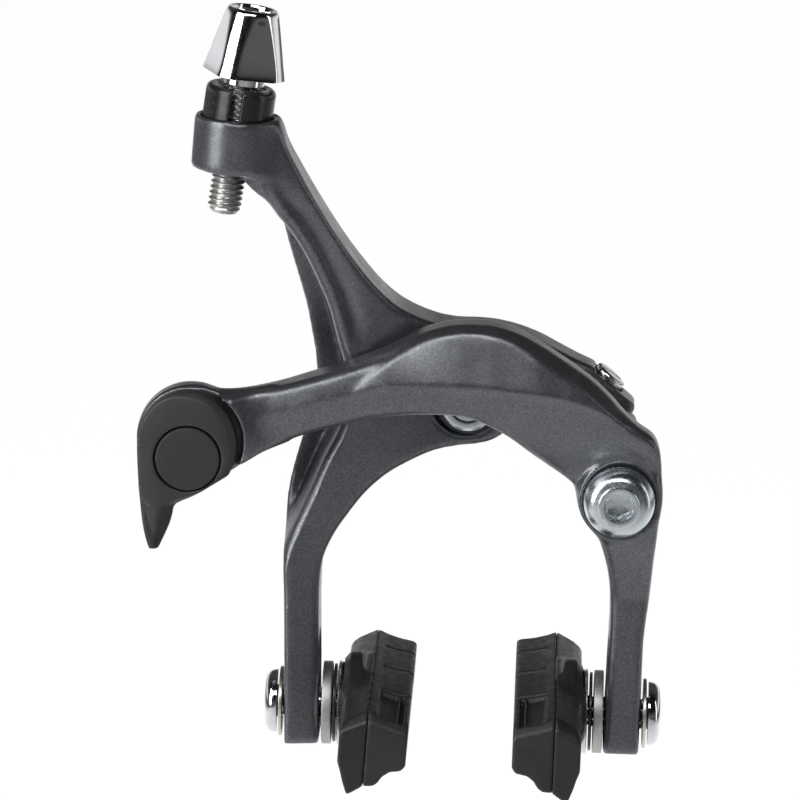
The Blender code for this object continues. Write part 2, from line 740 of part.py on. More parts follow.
def build_front_arm():
    """The front arm: eye for the cable end at the left, side pivot at the right, and right leg."""
    arm = level_bar("c_arm", FRONT_ARM_LEVEL, FRONT_BEAM_ROUNDING)
    upright = upright_bar("c_arm_upright", FRONT_ARM_UPRIGHT, ARM_ROUNDING)
    eye = through_y("c_arm_eye", EYE_X, EYE_Z, EYE_RADIUS, EYE_FRONT, FRONT_ARM_BACK, 40)
    boss_back = HUB_BACK - 0.3 * MM
    boss = through_y("c_arm_boss", SIDE_PIVOT_X, SIDE_PIVOT_Z, SIDE_BOSS_RADIUS, SIDE_BOSS_FRONT, boss_back)
    heel_outline = [(across * MM, up * MM) for across, up in HEEL_OUTLINE]
    heel = extruded("c_arm_heel", heel_outline, HEEL_THICKNESS, (0, HEEL_MIDDLE_Y, 0), ACROSS_X)
    add(arm, upright, eye, boss, heel)
    ahead = SIDE_HEAD_FRONT - 2 * MM
    pivot = (SIDE_PIVOT_X, SIDE_PIVOT_Z)
    spot_radius = SIDE_HEAD_RADIUS + 0.5 * MM
    spot_face = through_y("c_arm_spot_face", *pivot, spot_radius, ahead, SIDE_BOSS_FRONT)
    bore = through_y("c_arm_bore", *pivot, SIDE_BORE, ahead, HUB_BACK + 2 * MM)
    before_lever = LEVER_FRONT - 3 * MM
    bore_radius = LEVER_HUB_RADIUS + GAP
    lever_bore = through_y("c_arm_lever_bore", EYE_X, EYE_Z, bore_radius, before_lever, ANCHOR_BACK)
    seat_radius = LEVER_RADIUS + 0.5 * MM
    lever_seat = through_y("c_arm_lever_seat", EYE_X, EYE_Z, seat_radius, before_lever, EYE_FRONT, 40)
    cut(arm, spot_face, bore, lever_bore, lever_seat, slot_cutter("c_arm_slot", 1))
    finish_part(arm, "paint")


def build_quick_release():
    """The lever, and the cable anchor that sits off the lever's centre."""
    outline = arc((EYE_X, EYE_Z), LEVER_RADIUS, -42, 178, 24)
    outline += [(across * MM, up * MM) for across, up in LEVER_TAIL]
    seat = EYE_FRONT - GAP
    lever = extruded("qr_lever", outline, seat - LEVER_FRONT, (0, (seat + LEVER_FRONT) / 2, 0), ACROSS_X)
    hub = through_y("qr_lever_hub", EYE_X, EYE_Z, LEVER_HUB_RADIUS, seat - MM, FRONT_ARM_BACK - GAP)
    add(lever, hub)
    recess_floor = LEVER_FRONT + ANCHOR_RECESS
    ahead = LEVER_FRONT - MM
    anchor = (ANCHOR_X, ANCHOR_Z)
    recess = through_y("qr_recess", *anchor, ANCHOR_DISC_RADIUS + GAP, ahead, recess_floor)
    shank_radius = ANCHOR_SHANK_RADIUS + GAP
    hole = through_y("qr_hole", *anchor, shank_radius, ahead, ANCHOR_BACK, SMALL_STEPS)
    cut(lever, recess, hole)
    finish_part(lever, "black_plastic")
    stud = turned(
        "cable_anchor_stud",
        (
            (0, ANCHOR_BACK),
            (ANCHOR_SHANK_RADIUS, ANCHOR_BACK),
            (ANCHOR_SHANK_RADIUS, recess_floor - GAP),
            (ANCHOR_DISC_RADIUS, recess_floor - GAP),
            (ANCHOR_DISC_RADIUS, LEVER_FRONT + 0.2 * MM),
            (ANCHOR_DISC_RADIUS - 0.3 * MM, LEVER_FRONT),
            (0, LEVER_FRONT),
        ),
        (ANCHOR_X, 0, ANCHOR_Z),
        (0, 1, 0),
    )
    finish_part(stud, "black_plastic")
    plate_front = FRONT_ARM_BACK + GAP
    plate_back = plate_front + CLAMP_THICKNESS
    plate = box(
        "cable_clamp_plate",
        (ANCHOR_X - CLAMP_HALF, plate_front, ANCHOR_Z - CLAMP_HALF),
        (ANCHOR_X + CLAMP_HALF, plate_back, ANCHOR_Z + CLAMP_HALF),
    )
    bevel(plate, 0.6 * MM, 2)
    plate_hole = through_y("clamp_plate_hole", *anchor, shank_radius, ahead, plate_back + MM, SMALL_STEPS)
    cut(plate, plate_hole)
    finish_part(plate, "steel")
    nut_front = plate_back + GAP
    nut_back = nut_front + CLAMP_NUT_HEIGHT
    nut = through_y("cable_clamp_nut", *anchor, CLAMP_NUT_RADIUS, nut_front, nut_back, 6)
    bevel(nut, 0.3 * MM, 1)
    nut_hole = through_y("clamp_nut_hole", *anchor, shank_radius, ahead, nut_back + MM, SMALL_STEPS)
    cut(nut, nut_hole)
    finish_part(nut, "zinc")


def build_adjuster():
    """The slotted bushing in the arm's boss, the hollow threaded bolt, and the knob that turns on it."""
    thread_clear = ADJUSTER_THREAD_RADIUS + GAP
    bushing = turned(
        "adjuster_bushing",
        (
            (thread_clear, BUSHING_TOP),
            (BUSHING_RADIUS - 1.3 * MM, BUSHING_TOP),
            (BUSHING_RADIUS - 0.4 * MM, BUSHING_TOP - 0.4 * MM),
            (BUSHING_RADIUS, BUSHING_TOP - 1.3 * MM),
            (BUSHING_RADIUS, BUSHING_FOOT),
            (BUSHING_NECK_RADIUS, BUSHING_FOOT),
            (BUSHING_NECK_RADIUS, -BOSS_DEPTH),
            (thread_clear, -BOSS_DEPTH),
        ),
        ADJUSTER_RIM,
        ADJUSTER_UP,
        ring=True,
    )
    slit = box(
        "bushing_slit",
        ADJUSTER_RIM + Vector((-SLIT_WIDTH / 2 - SLIT_OFFSET, -BOSS_RADIUS, -BUSHING_TOP)),
        ADJUSTER_RIM + Vector((SLIT_WIDTH / 2 - SLIT_OFFSET, -SLIT_BACK, BUSHING_TOP + 2 * MM)),
    )
    slit.matrix_world = Matrix.Translation(slit.location) @ Matrix.Rotation(ADJUSTER_LEAN, 4, "Y")
    cut(bushing, slit)
    finish_part(bushing, "nylon")
    bolt = turned(
        "adjuster_bolt",
        (
            (HOUSING_BORE, ADJUSTER_THREAD_TOP),
            (ADJUSTER_THREAD_RADIUS, ADJUSTER_THREAD_TOP),
            (ADJUSTER_THREAD_RADIUS, ADJUSTER_THREAD_FOOT + 0.5 * MM),
            (ADJUSTER_THREAD_RADIUS - 0.5 * MM, ADJUSTER_THREAD_FOOT),
            (CABLE_BORE, ADJUSTER_THREAD_FOOT),
            (CABLE_BORE, HOUSING_SEAT),
            (HOUSING_BORE, HOUSING_SEAT),
        ),
        ADJUSTER_RIM,
        ADJUSTER_UP,
        steps=24,
        ring=True,
    )
    finish_part(bolt, "steel")
    knob = turned(
        "adjuster_knob",
        (
            (thread_clear, KNOB_TOP),
            (KNOB_TOP_RADIUS - 0.5 * MM, KNOB_TOP),
            (KNOB_TOP_RADIUS, KNOB_TOP - 0.5 * MM),
            (KNOB_FOOT_RADIUS, KNOB_FOOT + 1.6 * MM),
            (KNOB_FOOT_RADIUS - 0.7 * MM, KNOB_FOOT),
            (KNOB_COLLAR_RADIUS, KNOB_FOOT),
            (KNOB_COLLAR_RADIUS, BUSHING_TOP + GAP),
            (thread_clear, BUSHING_TOP + GAP),
        ),
        ADJUSTER_RIM,
        ADJUSTER_UP,
        ring=True,
    )
    flats = rod(
        "knob_flats",
        on_adjuster(BUSHING_TOP),
        on_adjuster(KNOB_TOP + MM),
        KNOB_FLAT_FOOT * math.sqrt(2),
        4,
        KNOB_FLAT_TOP * math.sqrt(2),
    )
    flats.matrix_world = flats.matrix_world @ Matrix.Rotation(KNOB_FLAT_TURN, 4, "Z")
    boolean(knob, flats, "INTERSECT")
    finish_part(knob, "chrome")


def build_centring_screw():
    """The small screw in the Y arm's extension, whose tip bears on the front arm's heel."""
    screw = turned(
        "centring_screw",
        (
            (0, 0),
            (SCREW_HEAD_RADIUS - 0.4 * MM, 0),
            (SCREW_HEAD_RADIUS, 0.4 * MM),
            (SCREW_HEAD_RADIUS, SCREW_HEAD_HEIGHT),
            (SCREW_RADIUS, SCREW_HEAD_HEIGHT),
            (SCREW_RADIUS, SCREW_LENGTH - 0.9 * MM),
            (0.55 * SCREW_RADIUS, SCREW_LENGTH - 0.2 * MM),
            (0, SCREW_LENGTH),
        )[::-1],
        SCREW_HEAD - SCREW_DOWN * SCREW_HEAD_HEIGHT,
        SCREW_DOWN,
        steps=SMALL_STEPS,
    )
    finish_part(screw, "steel")


def shoe_stations():
    """Rows of (distance along the shoe, drop that follows the rim, height taken off the top)."""
    half = SHOE_LENGTH / 2
    inner = half - SHOE_END_CHAMFER
    rows = []
    for along in (-half, -inner, -inner * 2 / 3, -inner / 3, 0, inner / 3, inner * 2 / 3, inner, half):
        taken = SHOE_END_CHAMFER if abs(along) == half else 0
        rows.append((along, along**2 / (2 * RIM_RADIUS), taken))
    return rows


def shoe_bar(name, side, section, side_name):
    """A bar of one section that bends along the rim, turned by the shoe's own small angles."""
    seat = Matrix.Translation((MID_X + side * SHOE_SEAT_U, SHOE_BOLT_Y, -REACH))
    lean = Matrix.Rotation(SHOE_LEAN[side_name], 4, "Y")
    pitch = Matrix.Rotation(SHOE_PITCH[side_name], 4, "X")
    place = seat @ lean @ pitch @ seat.inverted()
    rings = []
    for along, drop, taken in shoe_stations():
        ring = []
        for across, up in section:
            height = up * MM - drop
            if up > 0:
                height -= taken
            ring.append(place @ Vector((MID_X + side * across * MM, SHOE_BOLT_Y + along, height - REACH)))
        rings.append(ring)
    return loft(name, rings)


def side_rod(name, side, start_u, end_u, radius, steps=ROUND_STEPS):
    """A rod along X between two distances from the middle plane, on the shoe bolt's axis."""
    start = (MID_X + side * start_u, SHOE_BOLT_Y, -REACH)
    end = (MID_X + side * end_u, SHOE_BOLT_Y, -REACH)
    return rod(name, start, end, radius, steps)


def side_turned(name, side, profile, steps=ROUND_STEPS, ring=False):
    """A turned piece on the shoe bolt's axis. The profile holds (radius, u), outermost u first."""
    origin = (MID_X, SHOE_BOLT_Y, -REACH)
    return turned(name, profile, origin, (side, 0, 0), steps, ring)


def ring_profile(inner, outer, outside, inside):
    """A plain ring between two distances from the middle plane."""
    return ((inner, outside), (outer, outside), (outer, inside), (inner, inside))


def build_shoe(side_name, side):
    """One brake shoe: rubber, holder, bolt and the four washers on it."""
    rubber = shoe_bar(side_name + "_brake_rubber", side, RUBBER_SECTION, side_name)
    bevel(rubber, 0.5 * MM, 2)
    finish_part(rubber, "rubber")
    holder = shoe_bar(side_name + "_shoe_holder", side, HOLDER_SECTION, side_name)
    bevel(holder, 0.5 * MM, 1)
    clear = SHOE_BOLT_RADIUS + GAP
    collar_start = SHOE_BOLT_TIP_U - MM
    collar = side_rod(side_name + "_collar", side, collar_start, SHOE_COLLAR_U, SHOE_COLLAR_RADIUS, 32)
    reach = 2 * SHOE_COLLAR_RADIUS
    middle = Vector((MID_X + side * SHOE_SEAT_U, SHOE_BOLT_Y, -REACH))
    lower_half = box(
        side_name + "_collar_lower_half",
        middle - Vector((reach, reach, reach)),
        middle + Vector((reach, reach, 0)),
    )
    cut(collar, lower_half)
    add(holder, collar)
    beyond = SHOE_COLLAR_U + 2 * MM
    socket = side_rod(side_name + "_shoe_socket", side, SHOE_BOLT_TIP_U - 0.4 * MM, beyond, clear, 24)
    seat = side_rod(side_name + "_shoe_seat", side, SHOE_SEAT_FLOOR_U, beyond, SHOE_SEAT_RADIUS, 32)
    cut(holder, seat, socket)
    finish_part(holder, "black_plastic")
    bolt = side_turned(
        side_name + "_shoe_bolt",
        side,
        (
            (0, SHOE_BOLT_TOP_U),
            (0.45 * SHOE_BOLT_HEAD_RADIUS, SHOE_BOLT_TOP_U - 0.2 * MM),
            (0.80 * SHOE_BOLT_HEAD_RADIUS, SHOE_BOLT_TOP_U - 0.9 * MM),
            (0.96 * SHOE_BOLT_HEAD_RADIUS, SHOE_BOLT_TOP_U - 1.9 * MM),
            (SHOE_BOLT_HEAD_RADIUS, SHOE_BOLT_HEAD_U),
            (SHOE_BOLT_RADIUS, SHOE_BOLT_HEAD_U),
            (SHOE_BOLT_RADIUS, SHOE_BOLT_TIP_U),
            (0, SHOE_BOLT_TIP_U),
        ),
    )
    finish_part(bolt, "chrome")
    for kind, (radius, outside, inside, look) in SHOE_WASHERS.items():
        profile = ring_profile(clear, radius, outside, inside)
        ring = side_turned(f"{side_name}_{kind}", side, profile, ring=True)
        finish_part(ring, look)
    dished = side_turned(
        side_name + "_dished_washer",
        side,
        (
            (clear, SHOE_COLLAR_U),
            (7.7 * MM, SHOE_COLLAR_U),
            (7.3 * MM, SHOE_COLLAR_U - 0.8 * MM),
            (5.6 * MM, SHOE_SEAT_FLOOR_U + 0.4 * MM),
            (clear, SHOE_SEAT_FLOOR_U + 0.4 * MM),
        ),
        ring=True,
    )
    finish_part(dished, "zinc")


def build_spring():
    """The return spring's bent wire, and the plastic sleeve on each of its feet."""
    points = smooth_between(SPRING_ROUTE, 3)
    curve = bpy.data.curves.new("return_spring", "CURVE")
    curve.dimensions = "3D"
    curve.bevel_depth = WIRE_RADIUS
    curve.bevel_resolution = 2
    curve.use_fill_caps = True
    spline = curve.splines.new("POLY")
    spline.points.add(len(points) - 1)
    for point, place in zip(spline.points, points):
        point.co = (*(Vector(place) * MM), 1)
    obj = bpy.data.objects.new("return_spring", curve)
    CUTTERS.objects.link(obj)
    bpy.context.view_layer.update()
    finish_part(weld_to_mesh(obj), "zinc")
    feet = (("left", SPRING_ROUTE[0], SPRING_ROUTE[1]), ("right", SPRING_ROUTE[-1], SPRING_ROUTE[-2]))
    profile = ring_profile(WIRE_RADIUS + GAP, SLEEVE_RADIUS, SLEEVE_LENGTH, 0)
    for side_name, tip, heel in feet:
        start = Vector(tip) * MM
        along = (Vector(heel) * MM - start).normalized()
        name = side_name + "_spring_sleeve"
        sleeve = turned(name, profile, start + along * GAP, along, SMALL_STEPS, ring=True)
        finish_part(sleeve, "nylon")


def main():
    build_crown_hardware()
    build_bridge()
    build_side_pivot()
    build_y_arm()
    build_front_arm()
    build_quick_release()
    build_adjuster()
    build_centring_screw()
    for side_name, side in (("left", -1), ("right", 1)):
        build_shoe(side_name, side)
    build_spring()


main()
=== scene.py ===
"""Looks for the rim brake caliper: finished meshes, materials, studio light and camera.

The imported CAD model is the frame. Frame units are metres; the shapes below are worked out in
millimetres and scaled by MM when they become meshes. +Y runs back through the fork.
"""

import json
import math

import bmesh
import bpy
import numpy as np
from mathutils import Matrix, Vector


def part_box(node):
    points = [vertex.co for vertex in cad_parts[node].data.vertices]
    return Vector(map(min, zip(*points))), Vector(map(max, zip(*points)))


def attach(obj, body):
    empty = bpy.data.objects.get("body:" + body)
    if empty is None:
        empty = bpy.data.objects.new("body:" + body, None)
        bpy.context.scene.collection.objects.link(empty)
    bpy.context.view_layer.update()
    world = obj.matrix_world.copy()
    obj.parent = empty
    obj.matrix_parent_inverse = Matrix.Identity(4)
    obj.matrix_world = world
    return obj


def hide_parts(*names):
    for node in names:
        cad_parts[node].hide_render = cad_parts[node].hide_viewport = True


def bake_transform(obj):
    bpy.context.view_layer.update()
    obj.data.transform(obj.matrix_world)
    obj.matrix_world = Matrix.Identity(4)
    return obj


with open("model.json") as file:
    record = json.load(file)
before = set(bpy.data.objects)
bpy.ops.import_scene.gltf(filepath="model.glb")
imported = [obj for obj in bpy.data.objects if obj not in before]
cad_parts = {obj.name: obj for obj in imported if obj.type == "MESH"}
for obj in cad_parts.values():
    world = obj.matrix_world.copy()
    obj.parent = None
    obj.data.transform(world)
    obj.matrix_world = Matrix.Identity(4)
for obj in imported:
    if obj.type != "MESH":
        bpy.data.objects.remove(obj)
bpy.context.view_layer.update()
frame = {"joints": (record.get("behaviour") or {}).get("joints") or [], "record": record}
JOINTS = {joint["name"]: joint for joint in frame["joints"]}

MM = 0.001

# ---------------------------------------------------------------- camera, lights and floor

CAMERA_AZIMUTH = 1.4
CAMERA_ELEVATION = 13.2
CAMERA_ROLL = 1.6
CAMERA_DISTANCE = 1.0
CAMERA_TARGET = Vector((-0.01221, -0.02010, -0.00042))
CAMERA_LENS = 252.0
FLOOR_HEIGHT = -0.30
FLOOR_RADIUS = 6.0
FLOOR_GLOW = 0.96
FLOOR_GLOW_FRONT = 0.30
FLOOR_SIDE_SHARE = 0.10
SKY_PALE = 0.80
SKY_DARK = 0.05
SKY_PALE_UP_TO = 0.05
SKY_DARK_FROM = 0.32
SKY_FRONT_SHARE = 0.12


def build_camera():
    azimuth = math.radians(CAMERA_AZIMUTH)
    elevation = math.radians(CAMERA_ELEVATION)
    back = Vector(
        (
            math.sin(azimuth) * math.cos(elevation),
            -math.cos(azimuth) * math.cos(elevation),
            math.sin(elevation),
        )
    )
    data = bpy.data.cameras.new("camera")
    data.lens = CAMERA_LENS
    data.clip_start = 0.01
    data.clip_end = 20.0
    camera = bpy.data.objects.new("camera", data)
    bpy.context.scene.collection.objects.link(camera)
    turn = (-back).to_track_quat("-Z", "Y").to_matrix().to_4x4()
    roll = Matrix.Rotation(math.radians(CAMERA_ROLL), 4, "Z")
    camera.matrix_world = Matrix.Translation(CAMERA_TARGET + back * CAMERA_DISTANCE) @ turn @ roll
    bpy.context.scene.camera = camera


def area_light(name, place, target, size, power):
    data = bpy.data.lights.new(name, "AREA")
    data.shape = "RECTANGLE"
    data.size, data.size_y = size
    data.energy = power
    light = bpy.data.objects.new(name, data)
    bpy.context.scene.collection.objects.link(light)
    light.location = place
    light.rotation_euler = (Vector(target) - Vector(place)).to_track_quat("-Z", "Y").to_euler()


def ranged(tree, value, low, high, start, end):
    """A value carried from one range to another, and held at its ends."""
    node = tree.nodes.new("ShaderNodeMapRange")
    for key, number in (("From Min", low), ("From Max", high), ("To Min", start), ("To Max", end)):
        node.inputs[key].default_value = number
    tree.links.new(value, node.inputs["Value"])
    return node.outputs["Result"]


def calculated(tree, kind, *values):
    """A sum, product or other reckoning of numbers and of node values."""
    node = tree.nodes.new("ShaderNodeMath")
    node.operation = kind
    for socket, value in zip(node.inputs, values):
        if isinstance(value, (int, float)):
            socket.default_value = value
        else:
            tree.links.new(value, socket)
    return node.outputs["Value"]


def coordinates(tree, kind):
    """The separate X, Y and Z of a texture coordinate."""
    place = tree.nodes.new("ShaderNodeTexCoord")
    apart = tree.nodes.new("ShaderNodeSeparateXYZ")
    tree.links.new(place.outputs[kind], apart.inputs["Vector"])
    return apart.outputs


def build_world():
    """A sky that is pale along the horizon at the back, and dark overhead and at the front."""
    world = bpy.data.worlds.new("studio")
    world.use_nodes = True
    tree = world.node_tree
    way = coordinates(tree, "Generated")
    upward = ranged(tree, way["Z"], SKY_PALE_UP_TO, SKY_DARK_FROM, SKY_PALE, SKY_DARK)
    backward = ranged(tree, way["Y"], -0.1, 0.4, SKY_FRONT_SHARE, 1.0)
    shade = calculated(tree, "MULTIPLY", upward, backward)
    tree.links.new(shade, tree.nodes["Background"].inputs["Color"])
    bpy.context.scene.world = world


def build_stage():
    """A wide pale floor that glows like a light table behind the object, and soft lights at the front."""
    bpy.context.scene.view_settings.view_transform = "Standard"
    bpy.ops.mesh.primitive_circle_add(vertices=96, radius=FLOOR_RADIUS, fill_type="NGON")
    floor = bpy.context.object
    floor.name = "floor"
    floor.location = (0, 0, FLOOR_HEIGHT)
    pale = bpy.data.materials.new("floor")
    pale.use_nodes = True
    shader = pale.node_tree.nodes["Principled BSDF"]
    shader.inputs["Base Color"].default_value = (0.30, 0.30, 0.30, 1.0)
    shader.inputs["Roughness"].default_value = 0.9
    shader.inputs["Emission Color"].default_value = (1.0, 1.0, 1.0, 1.0)
    tree = pale.node_tree
    place = coordinates(tree, "Object")
    backward = ranged(tree, place["Y"], -0.5, 0.5, FLOOR_GLOW_FRONT, FLOOR_GLOW)
    sideways = calculated(tree, "ABSOLUTE", place["X"])
    middle = ranged(tree, sideways, 0.55, 1.1, 1.0, FLOOR_SIDE_SHARE)
    glow = calculated(tree, "MULTIPLY", backward, middle)
    tree.links.new(glow, shader.inputs["Emission Strength"])
    floor.data.materials.append(pale)
    target = (0.0, -0.02, 0.0)
    area_light("key", (-0.74, -0.60, 0.30), target, (0.55, 0.9), 7.0)
    area_light("front_top", (-0.06, -0.76, 0.64), target, (0.70, 0.24), 2.9)
    area_light("right_strip", (0.95, -0.16, 0.15), target, (0.20, 0.9), 0.8)


# ---------------------------------------------------------------- meshes from distance fields
#
# A field gives, for points in millimetres, the signed distance to a surface: negative inside.
# Fields of simple forms are joined and cut with rounded seams, as a forging has fillets.


def smooth_curve(points, steps=6, closed=True):
    """A Catmull-Rom curve through points in X and Z. A point given twice in a row is a corner."""
    points = np.array(points, float)
    count = len(points)
    rows = []
    last = count if closed else count - 1
    for index in range(last):
        if closed:
            a, b, c, d = (points[(index + shift) % count] for shift in (-1, 0, 1, 2))
        else:
            a, b, c, d = (points[min(max(index + shift, 0), count - 1)] for shift in (-1, 0, 1, 2))
        if np.allclose(b, c):
            continue
        if np.allclose(a, b):
            a = b - (c - b)
        if np.allclose(c, d):
            d = c + (c - b)
        for step in range(steps):
            t = step / steps
            bend = 2 * b + (c - a) * t + (2 * a - 5 * b + 4 * c - d) * t**2
            rows.append((bend + (3 * b - a - 3 * c + d) * t**3) / 2)
    if not closed:
        rows.append(points[-1])
    return np.array(rows)


def curve_distance(curve, x, z, closed=True):
    """Distance from points to a curve, with the points' side of it: negative inside, or to the left."""
    shape = np.broadcast(x, z).shape
    px = np.broadcast_to(x, shape).ravel()
    pz = np.broadcast_to(z, shape).ravel()
    starts = curve if closed else curve[:-1]
    ends = np.roll(curve, -1, axis=0) if closed else curve[1:]
    nearest = np.full(px.shape, 1e9)
    side = np.zeros(px.shape)
    inside = np.zeros(px.shape, bool)
    for (ax, az), (bx, bz) in zip(starts, ends):
        dx, dz = bx - ax, bz - az
        share = np.clip(((px - ax) * dx + (pz - az) * dz) / (dx * dx + dz * dz), 0, 1)
        gap = (px - ax - share * dx) ** 2 + (pz - az - share * dz) ** 2
        closer = gap < nearest
        nearest[closer] = gap[closer]
        if closed:
            crosses = (az > pz) != (bz > pz)
            if dz:
                inside ^= crosses & (px < ax + (pz - az) * dx / dz)
        else:
            turn = dx * (pz - az) - dz * (px - ax)
            side[closer] = turn[closer]
    away = np.sqrt(nearest)
    if closed:
        away[inside] *= -1
    else:
        away[side > 0] *= -1
    return away.reshape(shape)


def height_map(points):
    """A smooth function of X and Z through rows of (x, z, value), by thin plate splines."""
    points = np.array(points, float)
    places, values = points[:, :2], points[:, 2]
    count = len(points)

    def bump(square):
        return 0.5 * square * np.log(square + 1e-9)

    squares = ((places[:, None] - places[None]) ** 2).sum(-1)
    matrix = np.zeros((count + 3, count + 3))
    matrix[:count, :count] = bump(squares)
    matrix[:count, count] = 1
    matrix[:count, count + 1 :] = places
    matrix[count:, :count] = matrix[:count, count:].T
    weights = np.linalg.solve(matrix, np.concatenate((values, np.zeros(3))))

    def value_at(x, z):
        total = weights[count] + weights[count + 1] * x + weights[count + 2] * z
        for (px, pz), weight in zip(places, weights):
            total = total + weight * bump((x - px) ** 2 + (z - pz) ** 2)
        return total

    return value_at


def ramp(value, low, high):
    """0 below low, 1 above high, and a smooth step between them."""
    t = np.clip((value - low) / (high - low), 0, 1)
    return t * t * (3 - 2 * t)


def both(a, b, radius):
    """The space in both fields, with a round edge of a radius."""
    u = np.maximum(a + radius, 0)
    v = np.maximum(b + radius, 0)
    return np.minimum(np.maximum(a, b), -radius) + np.hypot(u, v)


def joined(a, b, radius):
    """The space in either field, with a fillet of a radius."""
    return -both(-a, -b, radius)


def cut_away(a, b, radius):
    """The first field without the second, with a round edge."""
    return both(a, -b, radius)


def rod_field(x, y, z, start, end, radius, rounding=0.4):
    """A cylinder between two points with rounded ends."""
    start, end = np.array(start, float), np.array(end, float)
    axis = end - start
    length = np.linalg.norm(axis)
    axis /= length
    px, py, pz = x - start[0], y - start[1], z - start[2]
    along = px * axis[0] + py * axis[1] + pz * axis[2]
    square = px * px + py * py + pz * pz - along * along
    sideways = np.sqrt(np.maximum(square, 0)) - radius
    return both(sideways, np.abs(along - length / 2) - length / 2, rounding)


def box_field(x, y, z, low, high, rounding=0.3):
    sides = [np.abs(v - (a + b) / 2) - (b - a) / 2 for v, a, b in zip((x, y, z), low, high)]
    return both(both(sides[0], sides[1], rounding), sides[2], rounding)


def surface_net(values):
    """Vertices and quads of the surface where a grid of values changes sign, in grid steps."""
    inside = values < 0
    shape = np.array(values.shape)
    cells = shape - 1
    cell_count = int(np.prod(cells))
    total = np.zeros((cell_count, 3), np.float32)
    hits = np.zeros(cell_count, np.float32)
    quads = []
    strides = np.array((cells[1] * cells[2], cells[2], 1))
    for axis in range(3):
        low = [slice(None)] * 3
        high = [slice(None)] * 3
        low[axis] = slice(None, -1)
        high[axis] = slice(1, None)
        crossing = np.argwhere(inside[tuple(low)] != inside[tuple(high)])
        beyond = crossing.copy()
        beyond[:, axis] += 1
        first = values[tuple(crossing.T)]
        second = values[tuple(beyond.T)]
        places = crossing.astype(np.float32)
        places[:, axis] += first / (first - second)
        others = [(axis + 1) % 3, (axis + 2) % 3]
        corner_ids = []
        fits = np.ones(len(crossing), bool)
        for shift in ((0, 0), (1, 0), (1, 1), (0, 1)):
            cell = crossing.copy()
            cell[:, others[0]] -= shift[0]
            cell[:, others[1]] -= shift[1]
            fits &= ((cell >= 0) & (cell < cells)).all(1)
            corner_ids.append(cell @ strides)
        for ids in corner_ids:
            for part in range(3):
                total[:, part] += np.bincount(ids[fits], places[fits, part], cell_count).astype(np.float32)
            hits += np.bincount(ids[fits], minlength=cell_count).astype(np.float32)
        rows = np.stack(corner_ids, 1)[fits]
        flip = first[fits] > 0
        rows[flip] = rows[flip, ::-1]
        quads.append(rows)
    quads = np.concatenate(quads)
    used = np.flatnonzero(hits)
    numbers = np.full(cell_count, -1, np.int64)
    numbers[used] = np.arange(len(used))
    return total[used] / hits[used, None], numbers[quads]


def relaxed(places, quads, passes=3, share=0.6):
    """Each vertex moved towards the mean of its neighbours, which takes the grid's small steps away."""
    starts = quads.ravel()
    for _ in range(passes):
        total = np.zeros_like(places, dtype=np.float64)
        count = np.zeros(len(places))
        for shift in (1, -1):
            ends = np.roll(quads, shift, 1).ravel()
            count += np.bincount(starts, minlength=len(places))
            for part in range(3):
                total[:, part] += np.bincount(starts, places[ends, part], len(places))
        places = places * (1 - share) + total / np.maximum(count, 1)[:, None] * share
    return places


def field_mesh(name, field, low, high, step):
    """An object whose surface is where a field is zero, within a box in millimetres."""
    axes = [np.arange(a - 2 * step, b + 3 * step, step, dtype=np.float32) for a, b in zip(low, high)]
    x = axes[0][:, None, None]
    y = axes[1][None, :, None]
    z = axes[2][None, None, :]
    values = np.ascontiguousarray(np.broadcast_to(field(x, y, z), [len(a) for a in axes])).astype(np.float32)
    places, quads = surface_net(values)
    places = relaxed(places, quads) * step + np.array([a[0] for a in axes])
    mesh = bpy.data.meshes.new(name)
    mesh.vertices.add(len(places))
    mesh.vertices.foreach_set("co", (places * MM).astype(np.float32).ravel())
    mesh.loops.add(quads.size)
    mesh.loops.foreach_set("vertex_index", quads.astype(np.int32).ravel())
    mesh.polygons.add(len(quads))
    mesh.polygons.foreach_set("loop_start", np.arange(0, quads.size, 4, dtype=np.int32))
    mesh.update(calc_edges=True)
    mesh.validate()
    mesh.shade_smooth()
    obj = bpy.data.objects.new(name, mesh)
    bpy.context.scene.collection.objects.link(obj)
    return obj


# ---------------------------------------------------------------- the arms

Y_ARM_OUTLINE = (
    (-40.5, 48.0), (-43.0, 45.0), (-43.0, 41.5), (-41.0, 40.0), (-38.9, 38.5), (-37.3, 37.0), (-35.7, 35.0),
    (-34.2, 31.8), (-32.9, 27.0), (-31.7, 22.8), (-30.5, 18.7), (-29.5, 15.0), (-28.6, 10.5), (-27.9, 6.8),
    (-27.5, 3.0), (-27.5, -1.0), (-28.4, -5.2), (-29.8, -9.3), (-31.6, -16.4), (-32.2, -21.1),
    (-32.3, -25.8), (-32.2, -30.4), (-31.8, -40.0), (-31.2, -63.2), (-31.2, -63.2), (-25.0, -63.2),
    (-25.0, -63.2), (-25.3, -48.6), (-25.6, -36.0), (-25.3, -30.3), (-24.6, -27.6), (-23.2, -24.6),
    (-21.5, -21.9), (-18.1, -17.3), (-14.7, -14.1), (-11.4, -12.0), (-6.3, -9.6), (-1.8, -8.6),
    (2.3, -8.1), (5.4, -7.0), (9.0, -4.0), (12.0, -1.9), (16.0, -0.8), (20.0, -0.6), (24.0, -1.6),
    (27.8, -2.9), (29.3, -2.3), (29.8, -0.4), (28.4, 2.2), (22.8, 5.9), (19.7, 7.3), (16.0, 9.1),
    (12.4, 10.9), (8.7, 12.2), (5.1, 13.0), (1.5, 13.3), (-2.1, 13.3), (-5.6, 13.8), (-9.3, 15.1),
    (-13.1, 17.2), (-16.8, 20.6), (-20.5, 25.2), (-24.0, 30.3), (-27.6, 36.3), (-31.1, 42.6),
    (-32.9, 46.1), (-34.5, 49.8), (-37.5, 50.2),
)

